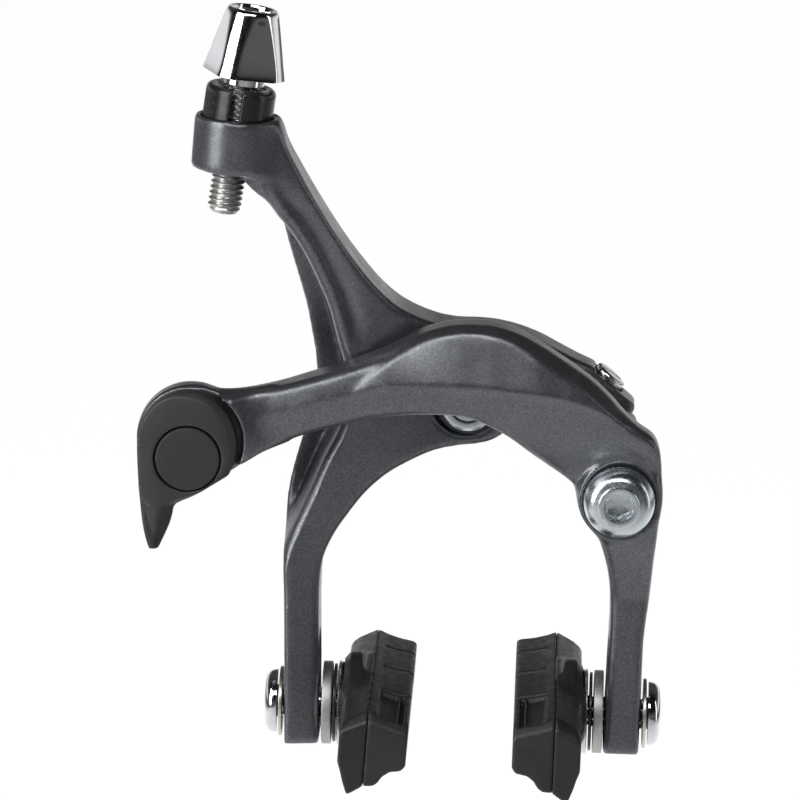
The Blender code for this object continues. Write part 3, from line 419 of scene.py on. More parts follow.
# The front rib's left edge, from the boss down to the leg. To its left the arm is a thin rear flange.
Y_ARM_RIDGE = (
    (-36.5, 37.5), (-34.4, 34.2), (-32.5, 31.9), (-29.5, 27.1), (-26.9, 21.6), (-25.0, 17.1), (-23.3, 11.0),
    (-21.9, 6.0), (-21.7, 1.0), (-22.9, -5.4), (-25.4, -10.8), (-27.8, -16.8), (-29.5, -20.9),
    (-31.3, -25.3), (-33.2, -30.5),
)

# Depth of the Y arm's front and back faces: across, up, front, back.
Y_ARM_DEPTHS = (
    (-38.0, 48.0, -29.6, -20.4),
    (-36.0, 40.0, -30.2, -18.8),
    (-32.0, 34.0, -29.2, -16.6),
    (-27.0, 27.0, -27.0, -14.2),
    (-22.0, 20.0, -25.2, -12.0),
    (-16.0, 12.0, -24.0, -10.2),
    (-17.0, 0.0, -23.8, -9.4),
    (-21.0, -10.0, -24.2, -10.0),
    (-26.0, -20.0, -24.8, -12.0),
    (-29.0, -28.0, -25.4, -13.4),
    (-28.5, -45.0, -26.2, -13.5),
    (-28.3, -62.0, -26.9, -13.5),
    (-5.0, 3.0, -20.6, -8.9),
    (4.0, 3.0, -19.8, -8.9),
    (14.0, 4.0, -19.2, -9.6),
    (24.0, 3.0, -18.6, -10.4),
)

FRONT_ARM_OUTLINE = (
    (-45.4, 2.9), (-48.7, 3.6), (-53.4, 2.3), (-56.8, -1.1), (-58.1, -5.7), (-56.9, -10.4), (-53.4, -13.8),
    (-48.7, -14.7), (-45.9, -13.9), (-42.9, -11.9), (-40.4, -10.4), (-36.0, -7.9), (-32.6, -6.2),
    (-27.4, -4.1), (-22.3, -2.5), (-17.1, -1.0), (-11.8, -0.2), (-6.5, 0.2), (-3.0, 0.2), (0.6, -0.3),
    (4.1, -1.8),
    (7.7, -4.0), (11.2, -6.8), (14.3, -9.2), (17.1, -11.3), (19.1, -12.9), (19.9, -14.4), (20.6, -16.2),
    (21.7, -18.1), (23.1, -20.4), (24.2, -23.0), (25.1, -25.9), (25.9, -29.2), (26.4, -33.2), (26.6, -38.0),
    (26.5, -44.0), (26.1, -63.2), (26.1, -63.2), (32.6, -63.2), (32.6, -63.2), (32.7, -48.8), (32.8, -41.4),
    (33.5, -34.0), (34.0, -26.5), (34.5, -20.0), (34.8, -15.0), (34.8, -10.5), (34.3, -6.2), (33.1, -3.4),
    (30.4, -1.5), (27.5, 1.1), (25.0, 3.8), (21.5, 6.9), (16.0, 10.6), (12.5, 12.8), (8.9, 14.7), (5.3, 15.9),
    (1.8, 16.3), (-3.4, 16.0), (-8.6, 14.4), (-12.1, 12.3), (-17.3, 9.8), (-22.5, 7.8), (-27.8, 6.0),
    (-33.0, 4.4), (-38.3, 3.3), (-42.0, 2.8),
)

# The crease along the front arm, between its upper and lower faces: across, up, depth.
FRONT_ARM_CREASE = (
    (-60.0, -6.0, -33.0),
    (-48.0, -4.4, -33.2),
    (-40.0, -2.0, -33.9),
    (-30.0, 1.0, -34.9),
    (-22.0, 3.4, -35.6),
    (-14.0, 5.6, -36.2),
    (-6.0, 5.8, -36.5),
    (4.0, 5.5, -36.5),
    (12.0, 4.7, -35.9),
    (18.0, 3.6, -35.0),
    (24.0, 1.4, -33.8),
    (29.0, -1.4, -32.8),
    (36.0, -6.0, -31.8),
)

# The raised panel above the crease.
PANEL_OUTLINE = (
    (-12.6, 11.6), (-12.6, 11.6), (-20.0, 4.2), (-14.0, 5.4), (-6.0, 5.6), (4.0, 5.4), (12.0, 4.6),
    (18.0, 3.5), (24.0, 1.3), (28.4, -1.4), (28.4, -1.4), (24.4, 2.6), (20.0, 6.4), (15.6, 9.6),
    (11.0, 12.6), (7.0, 14.4), (2.0, 15.4), (-3.4, 15.2), (-8.4, 13.8),
)

SIDE_PIVOT = Vector(JOINTS["c_arm_pivot"]["pos_m"]) / MM
EYE = Vector(JOINTS["qr_lever_swing"]["pos_m"]) / MM
ANCHOR = Vector(JOINTS["cable_anchor_swivel"]["pos_m"]) / MM
ADJUSTER_UP = Vector(JOINTS["adjuster_turn"]["axis"]).normalized()
KNOB_POINT = Vector(JOINTS["adjuster_turn"]["pos_m"]) / MM
RIM_BELOW_KNOB_POINT = 13.0  # from the knob joint's point down to the boss's rim
SCREW_HEAD = Vector(JOINTS["centring_screw_turn"]["pos_m"]) / MM
SCREW_DOWN = Vector(JOINTS["centring_screw_turn"]["axis"]).normalized()
SHOE_BOLT_Y = JOINTS["left_shoe_tilt"]["pos_m"][1] / MM
SHOE_BOLT_Z = JOINTS["left_shoe_tilt"]["pos_m"][2] / MM
SLOT_TRAVEL = JOINTS["left_shoe_height"]["range_m"][1] / MM
SLOT_RADIUS = 3.3
ARM_GRID = 0.45


def on_adjuster(distance):
    """A point on the adjuster's axis, a distance above the boss's rim."""
    return KNOB_POINT + ADJUSTER_UP * (distance - RIM_BELOW_KNOB_POINT)


def slot_field(x, y, z, low, high):
    """The upright slot for a shoe bolt, between two places across."""
    middle = SHOE_BOLT_Z + SLOT_TRAVEL / 2
    off = np.maximum(np.abs(z - middle) - SLOT_TRAVEL / 2, 0)
    across = np.abs(x - (low + high) / 2) - (high - low) / 2
    return np.maximum(np.hypot(y - SHOE_BOLT_Y, off) - SLOT_RADIUS, across)


def y_arm_field(x, y, z):
    """The rear arm: boss, ribbed limb, leg, hub and the extension that holds the centring screw."""
    edge = curve_distance(smooth_curve(Y_ARM_OUTLINE), x, z)
    fronts = height_map([(a, b, c) for a, b, c, d in Y_ARM_DEPTHS])(x, z)
    backs = height_map([(a, b, d) for a, b, c, d in Y_ARM_DEPTHS])(x, z)
    ridge = curve_distance(smooth_curve(Y_ARM_RIDGE, closed=False)[::-1], x, z, closed=False)
    bevel = 0.9 * np.clip(1.4 - ridge, 0, 1.4)
    limb = ramp(z, 8, 16) * (1 - ramp(z, 34, 42))
    valley = 0.9 * limb * np.exp(-(((ridge - 3.4) / 1.5) ** 2))
    rear = backs - 3.6 - fronts
    wall = rear * ramp(-ridge, 0.0, 1.3) * (1 - ramp(z, 34, 38))
    front = fronts + bevel + valley + np.maximum(wall, 0) * (ridge < 1.4)
    body = both(edge, front - y, 0.9)
    body = both(body, y - backs, 1.1)
    boss = rod_field(x, y, z, on_adjuster(-9.8) + Vector((0.6, 0, 0)), on_adjuster(0), 7.5, 0.6)
    body = joined(body, boss, 2.0)
    hub = rod_field(x, y, z, (0, -19.3, 0), (0, -8.9, 0), 7.4, 0.5)
    body = joined(body, hub, 0.8)
    top = SCREW_HEAD + SCREW_DOWN * 0.5
    screw_boss = rod_field(x, y, z, top, top + SCREW_DOWN * 4.5, 4.2, 0.6)
    body = joined(body, screw_boss, 1.6)
    peg = rod_field(x, y, z, (-28.6, -13, -17), (-28.6, -6, -17), 2.0, 0.5)
    body = joined(body, peg, 0.8)
    bore = rod_field(x, y, z, on_adjuster(-8.3), on_adjuster(3), 6.5, 0.2)
    neck = rod_field(x, y, z, on_adjuster(-20), on_adjuster(0), 5.2, 0.2)
    hub_bore = rod_field(x, y, z, (0, -30, 0), (0, 0, 0), 4.5, 0.2)
    hub_face = rod_field(x, y, z, (0, -40, 0), (0, -19.3, 0), 6.6, 0.2)
    screw_top = SCREW_HEAD - SCREW_DOWN * 2
    screw_hole = rod_field(x, y, z, screw_top, screw_top + SCREW_DOWN * 20, 2.0, 0.2)
    outward = Vector((-SCREW_DOWN.z, 0, SCREW_DOWN.x))
    from_head = (x - SCREW_HEAD.x) * outward.x + (z - SCREW_HEAD.z) * outward.z
    below_head = (x - SCREW_HEAD.x) * SCREW_DOWN.x + (z - SCREW_HEAD.z) * SCREW_DOWN.z
    above_nose = np.maximum(both(below_head + 0.7, -3.2 - from_head, 0.4), SCREW_HEAD.x - 6 - x)
    pocket = rod_field(x, y, z, SCREW_HEAD - SCREW_DOWN * 6, SCREW_HEAD + SCREW_DOWN * 0.5, 3.35, 0.1)
    head_room = np.minimum(above_nose, pocket)
    body = cut_away(body, np.minimum(bore, neck), 0.35)
    body = cut_away(body, np.minimum(hub_bore, hub_face), 0.3)
    body = cut_away(body, np.minimum(screw_hole, head_room), 0.25)
    return cut_away(body, slot_field(x, y, z, -40, -20), 0.4)


def front_arm_field(x, y, z):
    """The front arm: cable eye, creased beam with its raised panel, side pivot boss and leg."""
    edge = curve_distance(smooth_curve(FRONT_ARM_OUTLINE), x, z)
    crease = np.array(FRONT_ARM_CREASE)
    line = np.interp(x, crease[:, 0], crease[:, 1])
    crest = np.interp(x, crease[:, 0], crease[:, 2])
    above = np.maximum(z - line, 0)
    below = np.maximum(line - z, 0)
    slope = 0.16 + 0.16 * ramp(x, -22, -6)
    beam = crest + slope * above + 0.016 * above**2 * (1 - ramp(x, -16, 0)) + 0.26 * below + 0.012 * below**2
    panel = curve_distance(smooth_curve(PANEL_OUTLINE), x, z)
    beam = beam - 0.55 * ramp(x, -26, -12) * ramp(-panel, -0.45, 0.35)
    leg = np.interp(-z, (10, 16, 22, 28, 34, 64), (-32.0, -31.6, -30.6, -28.4, -26.6, -26.9))
    legward = ramp(-z, 8, 20) * ramp(x, 12, 22)
    front = beam * (1 - legward) + leg * legward
    below_pivot = (5, 7.5, 10, 14, 19, 24, 30, 34, 64)
    back = np.interp(-z, below_pivot, (-25.6, -25.0, -19, -10.6, -9.6, -10.6, -12.8, -13.5, -13.5))
    back = -25.6 + (back + 25.6) * ramp(x, 12, 19) - 2.6 * (1 - ramp(x, -44, -26))
    radius = 1.3 + 1.5 * ramp(x, 4, 14) * ramp(z, -6, 2)
    body = both(edge, front - y, radius)
    body = both(body, y - back, 1.0)
    eye = rod_field(x, y, z, (EYE.x, -33.2, EYE.z), (EYE.x, -28.2, EYE.z), 9.6, 0.5)
    eye = both(eye, 0.53 * x - 0.85 * z + 12.5, 0.5)
    body = joined(body, eye, 0.4)
    from_eye = np.hypot(x - EYE.x, z - EYE.z)
    wall = both(np.maximum(from_eye - 17, edge + 0.2), 0.55 * (from_eye - 9.5) - 36.0 - y, 0.6)
    wall = both(wall, y + 30, 0.5)
    wall = both(wall, 4.4 - (x - EYE.x) * 0.94 - (z - EYE.z) * 0.34, 0.8)
    body = joined(body, wall, 1.4)
    px, pz = SIDE_PIVOT.x, SIDE_PIVOT.z
    boss = rod_field(x, y, z, (px, -31.0, pz), (px, -9.2, pz), 7.35, 0.6)
    body = joined(body, boss, 1.2)
    heel = box_field(x, y, z, (12.6, -18.4, -12.5), (22.5, -10.0, -6.9), 0.8)
    lowest = (z + 8.6) + 0.9 * (x - 12.6)
    heel = both(heel, -lowest - 1.0, 0.8)
    body = joined(body, heel, 1.0)
    spot = rod_field(x, y, z, (px, -45, pz), (px, -30.4, pz), 6.7, 0.3)
    bore = rod_field(x, y, z, (px, -45, pz), (px, 0, pz), 4.7, 0.2)
    seat = rod_field(x, y, z, (EYE.x, -45, EYE.z), (EYE.x, -33.0, EYE.z), 9.5, 0.2)
    lever_bore = rod_field(x, y, z, (EYE.x, -45, EYE.z), (EYE.x, 0, EYE.z), 7.3, 0.2)
    body = cut_away(body, np.minimum(spot, bore), 0.35)
    body = cut_away(body, np.minimum(seat, lever_bore), 0.3)
    return cut_away(body, slot_field(x, y, z, 20, 40), 0.4)


def build_arms():
    rear = field_mesh("y_arm_forging", y_arm_field, (-50.5, -33, -64), (30, -5.5, 53), ARM_GRID)
    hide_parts("y_arm")
    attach(rear, "y_arm")
    front = field_mesh("front_arm_forging", front_arm_field, (-59, -37.5, -64), (35.5, -8.5, 17), ARM_GRID)
    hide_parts("c_arm")
    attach(front, "c_arm")
    return rear, front


# ---------------------------------------------------------------- turned pieces
#
# A turned piece is a stack of rows along an axis. A row is (radius, along) for a circle, or
# (radius, along, outline), where the outline gives the radius at each angle.


def polygon(count, turn=0.0):
    """A regular outline with its corners at the row's radius."""
    part = 2 * math.pi / count

    def outline(angles, radius):
        off = np.mod(angles - turn, part) - part / 2
        return radius * math.cos(part / 2) / np.cos(off)

    return outline


def threaded(radius, start, end, pitch, depth, rows_a_turn=8):
    """Rows of a screw thread, which runs out at its two ends."""
    count = int(abs(end - start) / pitch * rows_a_turn)
    rows = []
    for number in range(count + 1):
        along = start + (end - start) * number / count
        nearest = min(abs(along - start), abs(end - along))
        share = min(1.0, nearest / (0.7 * pitch))

        def outline(angles, size, along=along, share=share):
            wave = np.abs(2 * np.mod(along / pitch - angles / (2 * math.pi), 1.0) - 1)
            ridge = np.clip(1.35 * wave - 0.2, 0, 1)
            return size - depth * (1 - share * ridge)

        rows.append((radius, along, outline))
    return rows


def softened(points, size, closed=False, steps=3):
    """A profile of (radius, along) with each corner rounded off over a short distance."""
    rows = []
    count = len(points)
    for index, point in enumerate(points):
        if not closed and index in (0, count - 1):
            rows.append(tuple(point))
            continue
        here = Vector(point)
        before = Vector(points[index - 1]) - here
        after = Vector(points[(index + 1) % count]) - here
        start = here + before.normalized() * min(size, 0.45 * before.length)
        end = here + after.normalized() * min(size, 0.45 * after.length)
        for step in range(steps + 1):
            t = step / steps
            rows.append(tuple(start * (1 - t) ** 2 + here * 2 * t * (1 - t) + end * t * t))
    return rows


def mesh_object(name, points, faces, sharp=40):
    """An object from points in millimetres, shaded smooth up to an angle."""
    shape = bmesh.new()
    verts = [shape.verts.new(Vector(point) * MM) for point in points]
    for face in faces:
        shape.faces.new([verts[index] for index in face])
    bmesh.ops.recalc_face_normals(shape, faces=shape.faces)
    mesh = bpy.data.meshes.new(name)
    shape.to_mesh(mesh)
    shape.free()
    mesh.shade_smooth()
    mesh.set_sharp_from_angle(angle=math.radians(sharp))
    obj = bpy.data.objects.new(name, mesh)
    bpy.context.scene.collection.objects.link(obj)
    return obj


def turned(name, rows, origin, direction, sides=64, ring=False, sharp=40):
    """A closed turned form. A first or last row of radius 0 is a point on the axis.

    Angles start at the front, or at the right for an axis that runs front to back.
    """
    axis = Vector(direction).normalized()
    front = Vector((1, 0, 0)) if abs(axis.y) > 0.9 else Vector((0, -1, 0))
    first = (front - axis * front.dot(axis)).normalized()
    second = axis.cross(first)
    angles = np.arange(sides) * 2 * math.pi / sides
    basis = np.array((first, second))
    points = []
    starts = []
    for row in rows:
        starts.append(len(points))
        middle = np.array(Vector(origin) + axis * row[1])
        if row[0] == 0:
            points.append(middle)
            continue
        radii = row[2](angles, row[0]) if len(row) > 2 else np.full(sides, row[0])
        flat = np.stack((radii * np.cos(angles), radii * np.sin(angles)), 1)
        points.extend(middle + flat @ basis)
    faces = []
    pairs = list(range(len(rows)))
    links = list(zip(pairs, pairs[1:]))
    if ring:
        links.append((pairs[-1], 0))
    for low, high in links:
        for side in range(sides):
            following = (side + 1) % sides
            if rows[low][0] == 0:
                faces.append((starts[low], starts[high] + side, starts[high] + following))
            elif rows[high][0] == 0:
                faces.append((starts[low] + side, starts[low] + following, starts[high]))
            else:
                faces.append(
                    (
                        starts[low] + side,
                        starts[low] + following,
                        starts[high] + following,
                        starts[high] + side,
                    )
                )
    return mesh_object(name, points, faces, sharp)


def node_middle(node):
    low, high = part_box(node)
    return (Vector(low) + Vector(high)) / (2 * MM)


def node_half(node):
    low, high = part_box(node)
    return (Vector(high) - Vector(low)) / (2 * MM)


def ring_for(node, along_x, bore, soft=0.15, sides=64):
    """A plain ring with soft edges, in the place and size of a CAD ring."""
    middle = node_middle(node)
    half = node_half(node)
    thick = half.x if along_x else half.y
    radius = max(half.z, half.y if along_x else half.x)
    profile = ((radius, -thick), (radius, thick), (bore, thick), (bore, -thick))
    direction = (1, 0, 0) if along_x else (0, 1, 0)
    return turned(node + "_form", softened(profile, soft, closed=True), middle, direction, sides, ring=True)


RECORD = frame["record"]
NODE_BODY = {node: body for body, nodes in RECORD["behaviour"]["bodies"].items() for node in nodes}


def install(obj, look, node):
    """Puts a finished piece in the place of a CAD node, with a material."""
    obj.data.materials.clear()
    obj.data.materials.append(look)
    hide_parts(node)
    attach(obj, NODE_BODY[node])


# ---------------------------------------------------------------- barrel adjuster

KNOB_FLAT_MIDDLE = math.radians(23.5)  # of one of the four flats, from the front towards the right
KNOB_FOOT = 7.2
KNOB_TOP = 19.2
THREAD_PITCH = 1.0
THREAD_DEPTH = 0.5


def build_adjuster():
    def knob_outline(flat_distance):
        def outline(angles, radius):
            part = math.pi / 2
            off = np.mod(angles - KNOB_FLAT_MIDDLE + part / 2, part) - part / 2
            flat = flat_distance / np.cos(off)
            return radius - 0.07 * np.log1p(np.exp(np.clip((radius - flat) / 0.07, -40, 40)))

        return outline

    rows = [(3.3, 5.7), (3.8, 5.7), (3.9, 5.8), (3.9, 7.1), (4.2, KNOB_FOOT)]
    rows += [(7.0, KNOB_FOOT, knob_outline(5.85)), (7.3, KNOB_FOOT + 0.08, knob_outline(6.08))]
    for step in range(25):
        share = step / 24
        along = KNOB_FOOT + 0.25 + share * (KNOB_TOP - 0.6 - KNOB_FOOT - 0.25)
        cone = 7.45 + (4.65 - 7.45) * share
        arched = 6.42 - 1.62 * min(1.0, share / 0.88) ** 0.75
        rows.append((cone, along, knob_outline(arched)))
    rows += [(4.5, KNOB_TOP - 0.3), (4.25, KNOB_TOP - 0.05), (3.95, KNOB_TOP), (3.6, KNOB_TOP - 0.1)]
    rows += [(3.4, KNOB_TOP - 0.5), (3.3, KNOB_TOP - 1.2)]
    knob = turned("adjuster_knob_form", rows, on_adjuster(0), ADJUSTER_UP, 120, ring=True, sharp=28)
    install(knob, CHROME, "adjuster_knob")

    rows = [(2.3, 16.4), (2.8, 16.5)]
    rows += threaded(3.0, 16.3, -17.2, THREAD_PITCH, THREAD_DEPTH)
    rows += [(2.3, -17.5), (1.3, -17.5), (1.2, -17.3), (1.2, 7.9), (1.3, 8.0), (2.3, 8.0), (2.4, 8.2)]
    bolt = turned("adjuster_bolt_form", rows, on_adjuster(0), ADJUSTER_UP, 48, ring=True, sharp=50)
    install(bolt, STEEL, "adjuster_bolt")

    def bushing_field(x, y, z):
        body = rod_field(x, y, z, on_adjuster(-8.0), on_adjuster(5.4), 6.2, 1.2)
        neck = rod_field(x, y, z, on_adjuster(-10.2), on_adjuster(-4.0), 4.9, 0.4)
        rim = rod_field(x, y, z, on_adjuster(0.4), on_adjuster(0.9), 6.2, 0.2)
        body = np.minimum(np.minimum(body, neck), rim)
        bore = rod_field(x, y, z, on_adjuster(-20), on_adjuster(9), 3.3, 0.1)
        counterbore = rod_field(x, y, z, on_adjuster(4.7), on_adjuster(9), 4.3, 0.3)
        middle = on_adjuster(0)
        along = (x - middle.x) * ADJUSTER_UP.x + (z - middle.z) * ADJUSTER_UP.z
        across = (x - middle.x) * ADJUSTER_UP.z - (z - middle.z) * ADJUSTER_UP.x
        slit = np.maximum(np.abs(across + 0.35) - 0.85, y - middle.y + 1.0)
        slit = np.maximum(slit, -along - 5.0)
        body = cut_away(body, slit, 0.35)
        return cut_away(body, np.minimum(bore, counterbore), 0.25)

    low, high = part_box("adjuster_bushing")
    bushing = field_mesh("adjuster_bushing_form", bushing_field, low / MM, high / MM, 0.2)
    install(bushing, NYLON, "adjuster_bushing")


# ---------------------------------------------------------------- pivots, bridge and screws


def build_crown_hardware():
    rows = [(0, 15.0)] + softened([(2.0, 15.0), (2.5, 14.7)], 0.1)
    rows += threaded(3.0, 14.7, -9.0, 1.0, 0.5)
    rows += [(3.0, -9.2)]
    rows += threaded(3.0, -9.4, -21.4, 1.0, 0.5)
    end = node_middle("crown_nut").y - node_half("crown_nut").y + 0.15
    rows += [(3.15, -21.6), (3.15, end + 0.2), (3.0, end), (0, end)]
    bolt = turned("crown_bolt_form", rows, (0, 0, 0), (0, 1, 0), 48, sharp=50)
    install(bolt, ZINC, "crown_bolt")
    half = node_half("crown_nut")
    radius = half.x
    front = node_middle("crown_nut").y - half.y
    back = node_middle("crown_nut").y + half.y
    profile = ((radius, back), (radius, front + 0.5), (radius - 0.5, front), (3.3, front), (3.3, back))
    nut = turned("crown_nut_form", softened(profile, 0.2, closed=True), (0, 0, 0), (0, 1, 0), 72, ring=True)
    install(nut, ZINC, "crown_nut")
    install(ring_for("dust_washer", False, 3.3), NYLON, "dust_washer")
    install(ring_for("hub_thrust_washer", False, 3.3), NYLON, "hub_thrust_washer")
    install(ring_for("hub_bushing", False, 3.3), STEEL, "hub_bushing")
    install(ring_for("side_bushing", False, 3.6), STEEL, "side_bushing")
    install(ring_for("side_thrust_washer", False, 3.6), NYLON, "side_thrust_washer")
    teeth = 40
    sides = teeth * 6
    angles = np.arange(sides) * 2 * math.pi / sides
    tooth = 0.19 - 0.19 * np.cos(angles * teeth)
    rows = [(3.4, 0.0), (4.0, 0.0), (9.0, -tooth), (9.35, -0.15 - tooth)]
    rows += [(9.5, -0.5), (9.5, -2.5), (9.3, -2.7), (3.45, -2.7), (3.3, -2.55), (3.3, -0.3)]
    points = []
    for radius, depth in rows:
        depth = np.broadcast_to(depth, sides)
        points.extend(np.stack((radius * np.cos(angles), depth, -radius * np.sin(angles)), 1))
    faces = []
    for row in range(len(rows)):
        other = (row + 1) % len(rows)
        for side in range(sides):
            following = (side + 1) % sides
            faces.append(
                (row * sides + side, row * sides + following, other * sides + following, other * sides + side)
            )
    install(mesh_object("serrated_washer_form", points, faces, 30), STEEL, "serrated_washer")


def build_bridge():
    pivot = (SIDE_PIVOT.x, SIDE_PIVOT.z)
    length = math.hypot(*pivot)
    along_x, along_z = pivot[0] / length, pivot[1] / length
    low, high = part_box("bridge_plate")
    low, high = low / MM, high / MM

    def field(x, y, z):
        crown = np.hypot(x, z) - 6.9
        side = np.hypot(x - pivot[0], z - pivot[1]) - 6.8
        along = x * along_x + z * along_z
        across = x * -along_z + z * along_x
        bar = np.maximum(np.abs(along - length / 2) - length / 2, np.maximum(across - 6.8, -across - 4.6))
        flat = joined(joined(crown, side, 1.0), bar, 2.0)
        from_bolts = np.minimum(np.hypot(x, z), np.hypot(x - pivot[0], z - pivot[1]))
        pressed = 0.7 * ramp(-flat, 1.6, 2.6) * ramp(from_bolts, 7.2, 8.4)
        body = both(flat, low[1] + pressed - y, 0.4)
        body = both(body, y - high[1], 0.4)
        holes = np.minimum(np.hypot(x, z) - 3.3, np.hypot(x - pivot[0], z - pivot[1]) - 3.6)
        return cut_away(body, holes, 0.2)

    plate = field_mesh("bridge_plate_form", field, low, high, 0.3)
    install(plate, ZINC, "bridge_plate")


def build_side_pivot():
    """The domed bolt head, its raised ring, and a hexagonal socket."""
    hexagon = polygon(6, math.radians(30))
    front = -36.0
    rows = [(0, -3.3), (2.7, -3.3), (3.2, -3.7)]
    rows += threaded(3.3, -3.9, -8.6, 1.0, 0.45)
    rows += [(3.3, -9.0), (3.3, -30.7), (3.35, -30.95)]
    rows += [(6.0, -31.0), (6.3, -31.1), (6.35, -31.3), (6.35, -31.9)]
    for step in range(1, 13):
        angle = math.radians(90 * step / 13)
        rows.append((3.75 + 2.6 * math.cos(angle), -31.9 - 3.2 * math.sin(angle)))
    rows += [(3.70, -35.2), (3.64, front + 0.35), (3.6, front + 0.12), (3.5, front + 0.02), (3.4, front)]
    rows += [(2.8, front), (2.72, front + 0.03), (2.66, front + 0.12)]
    rows += [(2.42, front + 0.5), (2.4, front + 0.55)]
    rows += [(2.31, front + 0.58, hexagon), (2.31, front + 3.0, hexagon), (0, front + 3.4)]
    origin = (SIDE_PIVOT.x, 0, SIDE_PIVOT.z)
    bolt = turned("side_pivot_bolt_form", rows, origin, (0, 1, 0), 96, sharp=32)
    install(bolt, ZINC_BRIGHT, "side_pivot_bolt")


def build_centring_screw():
    """A cheese-head screw with a slot, on the arm's extension."""
    rows = [(0, 1.9), (1.3, 1.9)] + threaded(1.7, 2.1, 13.1, 0.7, 0.3) + [(0.9, 13.8), (0, 14.0)]
    shank = turned("screw_shank", rows, SCREW_HEAD - SCREW_DOWN * 1.9, SCREW_DOWN, 32, sharp=50)
    base = SCREW_HEAD - SCREW_DOWN * 1.9
    cross = Vector((0, 1, 0)).cross(SCREW_DOWN)
    turn = math.radians(25)
    slot_way = Vector((0, 1, 0)) * math.cos(turn) + cross * math.sin(turn)

    def field(x, y, z):
        head = rod_field(x, y, z, base, SCREW_HEAD, 3.07, 0.6)
        px, py, pz = x - base.x, y - base.y, z - base.z
        across = px * slot_way.x + py * slot_way.y + pz * slot_way.z
        along = px * SCREW_DOWN.x + pz * SCREW_DOWN.z
        return cut_away(head, np.maximum(np.abs(across) - 0.4, along - 0.9), 0.12)

    reach = 4.2
    low = base - Vector((reach, reach, reach))
    high = base + Vector((reach, reach, reach))
    head = field_mesh("centring_screw_form", field, low, high, 0.12)
    shape = bmesh.new()
    shape.from_mesh(head.data)
    shape.from_mesh(shank.data)
    shape.to_mesh(head.data)
    shape.free()
    bpy.data.objects.remove(shank, do_unlink=True)
    install(head, STEEL_BRIGHT, "centring_screw")


# ---------------------------------------------------------------- quick release and cable anchor

LEVER_OUTLINE_TAIL = (
    (-57.9, -9.0), (-57.4, -16.0), (-56.6, -21.6), (-55.7, -24.8), (-55.3, -25.3), (-54.1, -25.4),
    (-53.7, -24.8), (-52.2, -21.3), (-51.6, -19.2), (-51.4, -18.0), (-50.7, -17.0), (-48.1, -15.6),
    (-45.3, -13.9),
)


def build_quick_release():
    outline = []
    for degrees in range(-42, 181, 6):
        angle = math.radians(degrees)
        reach = 9.3 - 1.05 * max(0.0, math.cos(angle - math.radians(18))) ** 2
        outline.append((EYE.x + reach * math.cos(angle), EYE.z + reach * math.sin(angle)))
    outline += LEVER_OUTLINE_TAIL
    curve = smooth_curve(outline, 3)
    front = node_middle("cable_anchor_stud").y - node_half("cable_anchor_stud").y

    def lever_field(x, y, z):
        edge = curve_distance(curve, x, z)
        rightward = ramp(x - EYE.x + 0.35 * (z - EYE.z), -3.0, 4.0)
        tailward = ramp(-z, 14, 18) * ramp(x + 0.3 * z, -63.2, -61.2)
        bevel = 0.25 + np.maximum(0.9 * rightward, 1.9 * tailward)
        top = front + 0.75 * np.maximum(bevel + edge, 0) + 0.02 * (edge + 5) ** 2 * (edge > -5)
        body = both(edge, top - y, 0.35)
        body = both(body, y + 33.3, 0.2)
        hub = rod_field(x, y, z, (EYE.x, -34, EYE.z), (EYE.x, -25.9, EYE.z), 7.0, 0.3)
        body = joined(body, hub, 0.2)
        recess = rod_field(x, y, z, (ANCHOR.x, -40, ANCHOR.z), (ANCHOR.x, front + 2.0, ANCHOR.z), 5.97, 0.1)
        hole = rod_field(x, y, z, (ANCHOR.x, -40, ANCHOR.z), (ANCHOR.x, -20, ANCHOR.z), 2.8, 0.1)
        return cut_away(body, np.minimum(recess, hole), 0.12)

    low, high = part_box("qr_lever")
    lever = field_mesh("qr_lever_form", lever_field, low / MM, high / MM, 0.22)
    install(lever, LEVER, "qr_lever")
    rows = [(0, -17.6), (1.9, -17.6), (2.2, -17.9)]
    rows += threaded(2.5, -18.0, -25.4, 0.8, 0.35)
    rows += [(2.5, -25.6), (2.5, -34.6), (2.7, -34.7)]
    cap = [(5.6, -34.7), (5.68, -34.8), (5.68, front + 0.22), (5.46, front), (0.5, front + 0.06)]
    rows += softened(cap, 0.1)
    rows += [(0, front + 0.06)]
    stud = turned("cable_anchor_stud_form", rows, (ANCHOR.x, 0, ANCHOR.z), (0, 1, 0), 96, sharp=35)
    install(stud, DISC, "cable_anchor_stud")
    middle = node_middle("cable_clamp_plate")
    half = node_half("cable_clamp_plate")

    def plate_field(x, y, z):
        body = box_field(x, y, z, middle - half, middle + half, 0.45)
        hole = np.hypot(x - ANCHOR.x, z - ANCHOR.z) - 2.8
        groove = np.hypot(x - ANCHOR.x - 3.6, y - middle.y + half.y) - 0.85
        return cut_away(body, np.minimum(hole, groove), 0.2)

    plate = field_mesh("cable_clamp_plate_form", plate_field, middle - half, middle + half, 0.16)
    install(plate, STEEL, "cable_clamp_plate")
    middle = node_middle("cable_clamp_nut")
    half = node_half("cable_clamp_nut")
    corner = max(half.x, half.z)
    hexagon = polygon(6, math.radians(90))
    rows = [(2.8, -half.y + 0.3), (3.1, -half.y), (0.86 * corner, -half.y), (corner, -half.y + 0.35, hexagon)]
    rows += [(corner, half.y - 0.35, hexagon), (0.86 * corner, half.y), (3.1, half.y), (2.8, half.y - 0.3)]
    nut = turned("cable_clamp_nut_form", rows, middle, (0, 1, 0), 72, ring=True, sharp=25)
    install(nut, ZINC, "cable_clamp_nut")


# ---------------------------------------------------------------- shoes

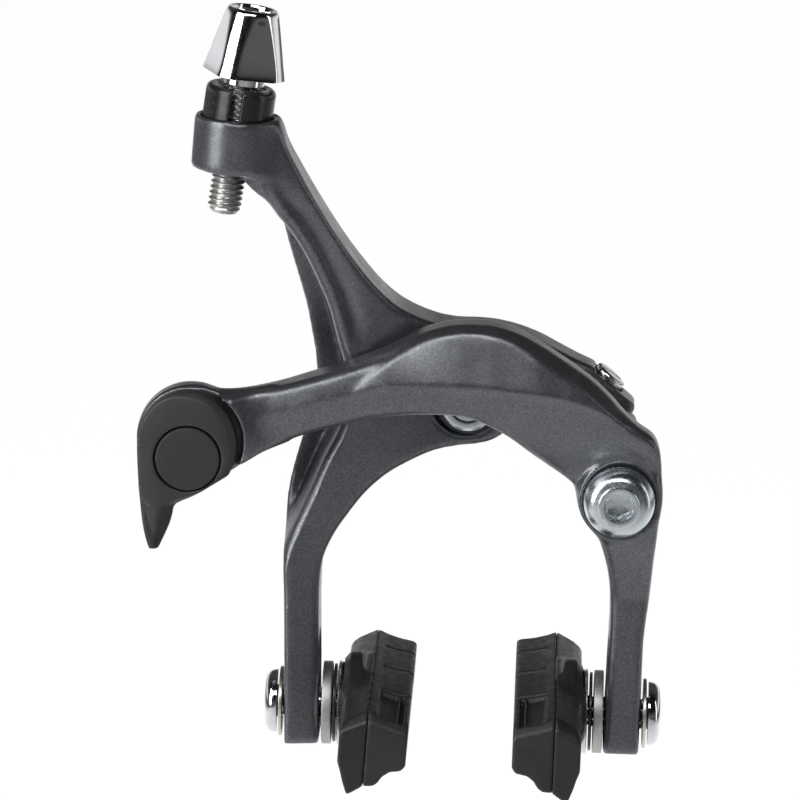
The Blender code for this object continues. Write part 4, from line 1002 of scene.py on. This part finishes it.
# u is a place across, from the plane between the shoes outwards.
SHOES = {"left": (-1, 3.0, 0.9), "right": (1, 0.6, 1.8)}  # side, lean and pitch in degrees
MID_X = (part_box("left_wide_washer")[0][0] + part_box("right_wide_washer")[1][0]) / 2 / MM
SEAT_U = 21.1
RIM_RADIUS = 311.0
HALF_LENGTH = 27.1
END_CHAMFER = 1.8
GROOVES = (15.0, 1.2, -12.2)  # their places along the shoe
GROOVE_HALF_WIDTH = 0.38
GROOVE_INNER_U = 14.9
RUBBER_SECTION = (
    (9.3, 5.9), (9.3, -1.4), (10.0, -2.3), (12.0, -2.7), (13.2, -3.6), (14.0, -4.9), (14.8, -5.5),
    (16.6, -5.7), (16.6, 8.0), (14.8, 7.2), (12.6, 6.6), (10.0, 6.3),
)
HOLDER_SECTION = (
    (16.58, 8.0), (16.58, -5.7), (18.6, -7.1), (19.4, -7.4), (20.3, -5.0), (20.9, -2.9), (21.4, -1.6),
    (21.4, 4.2), (20.9, 5.2), (19.8, 6.2), (18.2, 7.1),
)


def shoe_space(side, lean, pitch):
    """A function that gives u, the place along and the height of points in a straight, level shoe."""
    seat = Vector((MID_X + side * SEAT_U, SHOE_BOLT_Y, SHOE_BOLT_Z))
    turn = Matrix.Rotation(math.radians(lean), 3, "Y") @ Matrix.Rotation(math.radians(pitch), 3, "X")
    back = turn.inverted()

    def local(x, y, z):
        px, py, pz = x - seat.x, y - seat.y, z - seat.z
        across = back[0][0] * px + back[0][1] * py + back[0][2] * pz
        along = back[1][0] * px + back[1][1] * py + back[1][2] * pz
        height = back[2][0] * px + back[2][1] * py + back[2][2] * pz
        return SEAT_U + side * across, along, height + along**2 / (2 * RIM_RADIUS)

    return local


def shoe_bar(section, u, along, height, rounding):
    """A bar of one section, chamfered along the top of its two ends."""
    body = curve_distance(np.array(section), u, height)
    top = 6.2 + 0.28 * (u - 10) - 0.75 * np.maximum(u - 16.5, 0)
    chamfer = (np.abs(along) - HALF_LENGTH + END_CHAMFER + height - top) / math.sqrt(2)
    body = both(body, np.abs(along) - HALF_LENGTH, rounding)
    return both(body, chamfer, rounding)


def build_shoe(name, side, lean, pitch):
    local = shoe_space(side, lean, pitch)

    def rubber_field(x, y, z):
        u, along, height = local(x, y, z)
        body = shoe_bar(RUBBER_SECTION, u, along, height, 0.4)
        for place in GROOVES:
            groove = np.maximum(np.abs(along - place) - GROOVE_HALF_WIDTH, u - GROOVE_INNER_U)
            body = cut_away(body, groove, 0.2)
        top = 6.2 + 0.28 * (u - 10)
        pocket = np.minimum(np.abs(u - 13.2) - 1.6, np.abs(u - 10.8) - 0.35)
        pocket = np.maximum(np.maximum(pocket, np.abs(along + 19.6) - 6.0), top - 1.1 - height)
        return cut_away(body, pocket, 0.2)

    def holder_field(x, y, z):
        u, along, height = local(x, y, z)
        body = shoe_bar(HOLDER_SECTION, u, along, height, 0.35)
        frame_u = side * (x - MID_X)
        away = np.hypot(y - SHOE_BOLT_Y, z - SHOE_BOLT_Z)
        taper = 9.5 - 1.15 * np.maximum(frame_u - 20.3, 0)
        collar = both((away - taper) * 0.75, np.abs(frame_u - 20.2) - 2.1, 0.2)
        collar = both(collar, -(z - SHOE_BOLT_Z), 0.4)
        body = joined(body, collar, 2.2)
        seat = np.maximum(away - 7.85, 20.2 - frame_u)
        socket = np.maximum(away - 3.2, 18.2 - frame_u)
        return cut_away(body, np.minimum(seat, socket), 0.25)

    low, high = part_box(name + "_brake_rubber")
    rubber = field_mesh(name + "_brake_rubber_form", rubber_field, low / MM, high / MM, 0.25)
    install(rubber, RUBBER, name + "_brake_rubber")
    low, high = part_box(name + "_shoe_holder")
    room = Vector((0, 0, 1.6))  # for the collar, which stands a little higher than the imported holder
    holder = field_mesh(name + "_shoe_holder_form", holder_field, low / MM, high / MM + room, 0.25)
    install(holder, PLASTIC, name + "_shoe_holder")
    origin = (MID_X, SHOE_BOLT_Y, SHOE_BOLT_Z)
    direction = (side, 0, 0)
    hexagon = polygon(6)
    rows = [(0, 33.8), (2.85, 33.8, hexagon), (2.85, 35.3, hexagon), (3.05, 35.72)]
    for step in range(10):
        angle = math.radians(90 * step / 9)
        rows.append((3.3 + 2.4 * math.sin(angle), 34.0 + 1.75 * math.cos(angle)))
    rows += [(5.78, 33.75), (5.75, 33.5), (5.6, 33.4), (2.95, 33.4), (2.9, 33.2)]
    rows += threaded(2.9, 33.0, 19.0, 1.0, 0.4) + [(2.2, 18.6), (0, 18.6)]
    bolt = turned(name + "_shoe_bolt_form", rows, origin, direction, 96, sharp=32)
    install(bolt, CHROME, name + "_shoe_bolt")
    install(ring_for(name + "_outer_washer", True, 3.2, 0.12, 96), NICKEL, name + "_outer_washer")
    install(ring_for(name + "_wide_washer", True, 3.2, 0.22, 96), CAST, name + "_wide_washer")
    install(ring_for(name + "_rubber_washer", True, 3.2, 0.15, 96), NYLON, name + "_rubber_washer")
    rows = [(3.2, 22.5), (7.5, 22.5), (7.7, 22.35), (7.62, 22.0)]
    rows += [(7.2, 21.4), (6.5, 20.85), (5.7, 20.45), (3.2, 20.4)]
    dished = turned(name + "_dished_washer_form", rows, origin, direction, 96, ring=True, sharp=50)
    install(dished, ZINC_BRIGHT, name + "_dished_washer")


# ---------------------------------------------------------------- return spring

SPRING_ROUTE = (
    (-24.4, -8.2, -20.6), (-24.4, -8.2, -14.4), (-23.2, -7.4, -11.0), (-20.2, -6.4, -6.0),
    (-15.5, -6.0, 1.5), (-9.5, -6.0, 7.8), (-3.0, -6.0, 10.6), (4.5, -6.0, 10.2), (12.0, -6.0, 6.4),
    (20.0, -6.0, 1.6),
    (25.0, -6.6, -2.4), (27.8, -9.0, -4.5), (28.4, -11.6, -4.7), (28.4, -17.8, -4.7),
)
SPRING_STEPS = 10  # curve points between two points of the route
SPRING_HELD_AT = 65  # the curve point over the crown bolt, where the two halves meet
SPRING_WIRE_RADIUS = 0.9


def wire(name, points, radius, sides=20):
    """A round wire along points, with flat ends."""
    points = [Vector(point) for point in points]
    rings = []
    side = Vector((0, 1, 0))
    for index, point in enumerate(points):
        way = points[min(index + 1, len(points) - 1)] - points[max(index - 1, 0)]
        way.normalize()
        side = (side - way * side.dot(way)).normalized()
        other = way.cross(side)
        ring = []
        for step in range(sides):
            angle = 2 * math.pi * step / sides
            ring.append(point + (side * math.cos(angle) + other * math.sin(angle)) * radius)
        rings.append(ring)
    faces = [tuple(range(sides))[::-1], tuple((len(rings) - 1) * sides + step for step in range(sides))]
    for index in range(len(rings) - 1):
        for step in range(sides):
            a = index * sides + step
            b = index * sides + (step + 1) % sides
            faces.append((a, b, b + sides, a + sides))
    return mesh_object(name, [point for ring in rings for point in ring], faces, 50)


def build_spring():
    route = []
    count = len(SPRING_ROUTE)
    for index in range(count - 1):
        a, b, c, d = (Vector(SPRING_ROUTE[min(max(index + shift, 0), count - 1)]) for shift in (-1, 0, 1, 2))
        for step in range(SPRING_STEPS):
            t = step / SPRING_STEPS
            place = 2 * b + (c - a) * t + (2 * a - 5 * b + 4 * c - d) * t**2
            route.append((place + (3 * b - a - 3 * c + d) * t**3) / 2)
    route.append(Vector(SPRING_ROUTE[-1]))
    for name, arm, points in (
        ("left_spring_wire", "y_arm", route[SPRING_HELD_AT::-1]),
        ("right_spring_wire", "c_arm", route[SPRING_HELD_AT:]),
    ):
        half = wire(name, points, SPRING_WIRE_RADIUS)
        half.data.materials.append(STEEL_BRIGHT)
        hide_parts("return_spring")
        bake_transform(half)
    for name in ("left_spring_sleeve", "right_spring_sleeve"):
        middle = node_middle(name)
        half = node_half(name)
        upright = half.z > half.y
        length = half.z if upright else half.y
        profile = ((1.88, -length), (1.88, length), (1.1, length), (1.1, -length))
        direction = (0, 0, 1) if upright else (0, 1, 0)
        rows = softened(profile, 0.35, closed=True)
        sleeve = turned(name + "_form", rows, middle, direction, 48, ring=True)
        install(sleeve, NYLON, name)


# ---------------------------------------------------------------- materials


class Finish:
    """A material whose colour, roughness and bump come from procedural nodes, at the piece's own scale."""

    def __init__(self, name, metallic, **constants):
        self.material = bpy.data.materials.new(name)
        self.material.use_nodes = True
        self.tree = self.material.node_tree
        self.shader = self.tree.nodes["Principled BSDF"]
        self.shader.inputs["Metallic"].default_value = metallic
        for key, value in constants.items():
            self.shader.inputs[key.replace("_", " ")].default_value = value
        self.place = self.tree.nodes.new("ShaderNodeTexCoord").outputs["Object"]

    def link(self, start, end):
        self.tree.links.new(start, end)

    def noise(self, scale, detail=3.0, stretch=(1, 1, 1)):
        """Soft noise from 0 to 1, with scale features a metre, drawn out along the axes."""
        spread = self.tree.nodes.new("ShaderNodeMapping")
        spread.inputs["Scale"].default_value = stretch
        self.link(self.place, spread.inputs["Vector"])
        node = self.tree.nodes.new("ShaderNodeTexNoise")
        node.inputs["Scale"].default_value = scale
        node.inputs["Detail"].default_value = detail
        self.link(spread.outputs["Vector"], node.inputs["Vector"])
        return node.outputs["Fac"]

    def flakes(self, scale):
        """A random value for each small cell, as metal flakes in paint lie at many angles."""
        node = self.tree.nodes.new("ShaderNodeTexVoronoi")
        node.inputs["Scale"].default_value = scale
        self.link(self.place, node.inputs["Vector"])
        apart = self.tree.nodes.new("ShaderNodeSeparateColor")
        self.link(node.outputs["Color"], apart.inputs["Color"])
        return apart.outputs["Red"]

    def edge_highlight_mask(self, low, high):
        """1 on sharp outer edges, fading to 0 on flat faces: the mask for painted edge highlights."""
        node = self.tree.nodes.new("ShaderNodeNewGeometry")
        return self.between(node.outputs["Pointiness"], low, high, 0.0, 1.0)

    def between(self, value, low, high, start, end):
        return ranged(self.tree, value, low, high, start, end)

    def combine(self, kind, first, second):
        return calculated(self.tree, kind, first, second)

    def tint(self, factor, first, second):
        """A colour between two, given as numbers or as another tint."""
        node = self.tree.nodes.new("ShaderNodeMix")
        node.data_type = "RGBA"
        self.link(factor, node.inputs["Factor"])
        for socket, colour in ((node.inputs[6], first), (node.inputs[7], second)):
            if isinstance(colour, tuple):
                socket.default_value = (*colour, 1.0)
            else:
                self.link(colour, socket)
        return node.outputs[2]

    def finish(self, colour, roughness, height, distance, strength=1.0):
        self.link(colour, self.shader.inputs["Base Color"])
        self.link(roughness, self.shader.inputs["Roughness"])
        bump = self.tree.nodes.new("ShaderNodeBump")
        bump.inputs["Distance"].default_value = distance
        bump.inputs["Strength"].default_value = strength
        self.link(height, bump.inputs["Height"])
        self.link(bump.outputs["Normal"], self.shader.inputs["Normal"])
        return self.material


def flake_paint(name, dark, light, roughness):
    """Satin paint with metal flakes under a thin clear coat, with a painted highlight in patches on sharp
    edges.
    """
    paint = Finish(name, 0.82, Coat_Weight=0.22, Coat_Roughness=0.28)
    sparkle = paint.combine("POWER", paint.flakes(5200), 1.6)
    fine = paint.flakes(9800)
    coarse_part = paint.combine("MULTIPLY", sparkle, 0.6)
    mixed = paint.combine("ADD", coarse_part, paint.combine("MULTIPLY", fine, 0.4))
    cloud = paint.between(paint.noise(70, 4), 0.3, 0.7, -0.10, 0.10)
    shade = paint.combine("ADD", mixed, cloud)
    colour = paint.tint(shade, dark, light)
    # Painted highlight: sharp edges are lightened towards pale grey, broken into patches.
    edges = paint.edge_highlight_mask(0.53, 0.62)
    patches = paint.between(paint.noise(900, 4), 0.45, 0.6, 0.0, 0.35)
    painted_edge_highlight = paint.combine("MULTIPLY", edges, patches)
    colour = paint.tint(painted_edge_highlight, colour, (0.42, 0.42, 0.43))
    rough = paint.between(paint.noise(240, 5), 0.3, 0.7, roughness - 0.05, roughness + 0.06)
    height = paint.combine("ADD", paint.combine("MULTIPLY", mixed, 0.5), paint.noise(1300, 3))
    return paint.finish(colour, rough, height, 0.00002, 0.5)


def plated(name, colour, other, roughness, spread, bump=0.00001, grain=2400, stretch=(1, 1, 1)):
    """Plated or bare metal, with a mottled tone and fine scratches."""
    metal = Finish(name, 1.0)
    mottled = metal.between(metal.noise(420, 5), 0.35, 0.65, 0.0, 1.0)
    shade = metal.tint(mottled, colour, other)
    scratch = metal.noise(grain, 6, stretch)
    rough = metal.between(scratch, 0.3, 0.75, roughness, roughness + spread)
    return metal.finish(shade, rough, scratch, bump, 0.6)


def moulded(name, colour, other, roughness, spread, grain, bump, **constants):
    """Moulded plastic or rubber, with a fine surface grain and a painted highlight on sharp edges."""
    plastic = Finish(name, 0.0, **constants)
    cloud = plastic.between(plastic.noise(160, 5), 0.3, 0.7, 0.0, 1.0)
    # Painted highlight: sharp edges are lightened towards a paler grey.
    edge = plastic.between(plastic.edge_highlight_mask(0.52, 0.62), 0.0, 1.0, 0.0, 0.5)
    shade = plastic.tint(edge, plastic.tint(cloud, colour, other), tuple(min(1.0, 3.2 * v) for v in other))
    rough = plastic.between(plastic.noise(700, 5), 0.3, 0.7, roughness, roughness + spread)
    return plastic.finish(shade, rough, plastic.noise(grain, 4), bump, 0.6)


PAINT = flake_paint("arm_paint", (0.104, 0.108, 0.118), (0.240, 0.247, 0.264), 0.33)
LEVER = moulded("lever_satin_black", (0.030, 0.031, 0.034), (0.040, 0.041, 0.044), 0.42, 0.12, 5200, 0.00003)
DISC = moulded("anchor_satin_black", (0.026, 0.024, 0.023), (0.036, 0.033, 0.031), 0.50, 0.12, 4200, 0.00004)
CHROME = plated("chrome_plate", (0.90, 0.91, 0.93), (0.84, 0.85, 0.88), 0.05, 0.07, 0.000004)
ZINC = plated("zinc_plate", (0.66, 0.72, 0.79), (0.74, 0.78, 0.82), 0.22, 0.14, 0.000010)
ZINC_BRIGHT = plated("zinc_plate_bright", (0.66, 0.73, 0.78), (0.78, 0.81, 0.84), 0.20, 0.12, 0.000006)
STEEL = plated("steel", (0.58, 0.58, 0.57), (0.68, 0.67, 0.65), 0.26, 0.18, 0.000012)
STEEL_BRIGHT = plated("steel_bright", (0.66, 0.66, 0.66), (0.76, 0.76, 0.76), 0.16, 0.12, 0.000008)
CAST = plated("steel_blasted", (0.50, 0.49, 0.47), (0.60, 0.59, 0.57), 0.42, 0.14, 0.00006, 4200)
NICKEL = plated("nickel_plate", (0.74, 0.71, 0.63), (0.80, 0.77, 0.70), 0.28, 0.12, 0.000010)
NYLON = moulded("black_nylon", (0.014, 0.014, 0.015), (0.020, 0.020, 0.021), 0.20, 0.12, 2400, 0.00001)
PLASTIC = moulded("black_plastic", (0.015, 0.015, 0.016), (0.024, 0.024, 0.025), 0.30, 0.18, 3000, 0.00003)
RUBBER = moulded("brake_rubber", (0.017, 0.017, 0.018), (0.027, 0.027, 0.028), 0.36, 0.20, 2600, 0.00004)

# ---------------------------------------------------------------- the whole scene

build_camera()
build_world()
build_stage()
for arm in build_arms():
    arm.data.materials.append(PAINT)
build_adjuster()
build_crown_hardware()
build_bridge()
build_side_pivot()
build_centring_screw()
build_quick_release()
for side_name, (shoe_side, shoe_lean, shoe_pitch) in SHOES.items():
    build_shoe(side_name, shoe_side, shoe_lean, shoe_pitch)
build_spring()
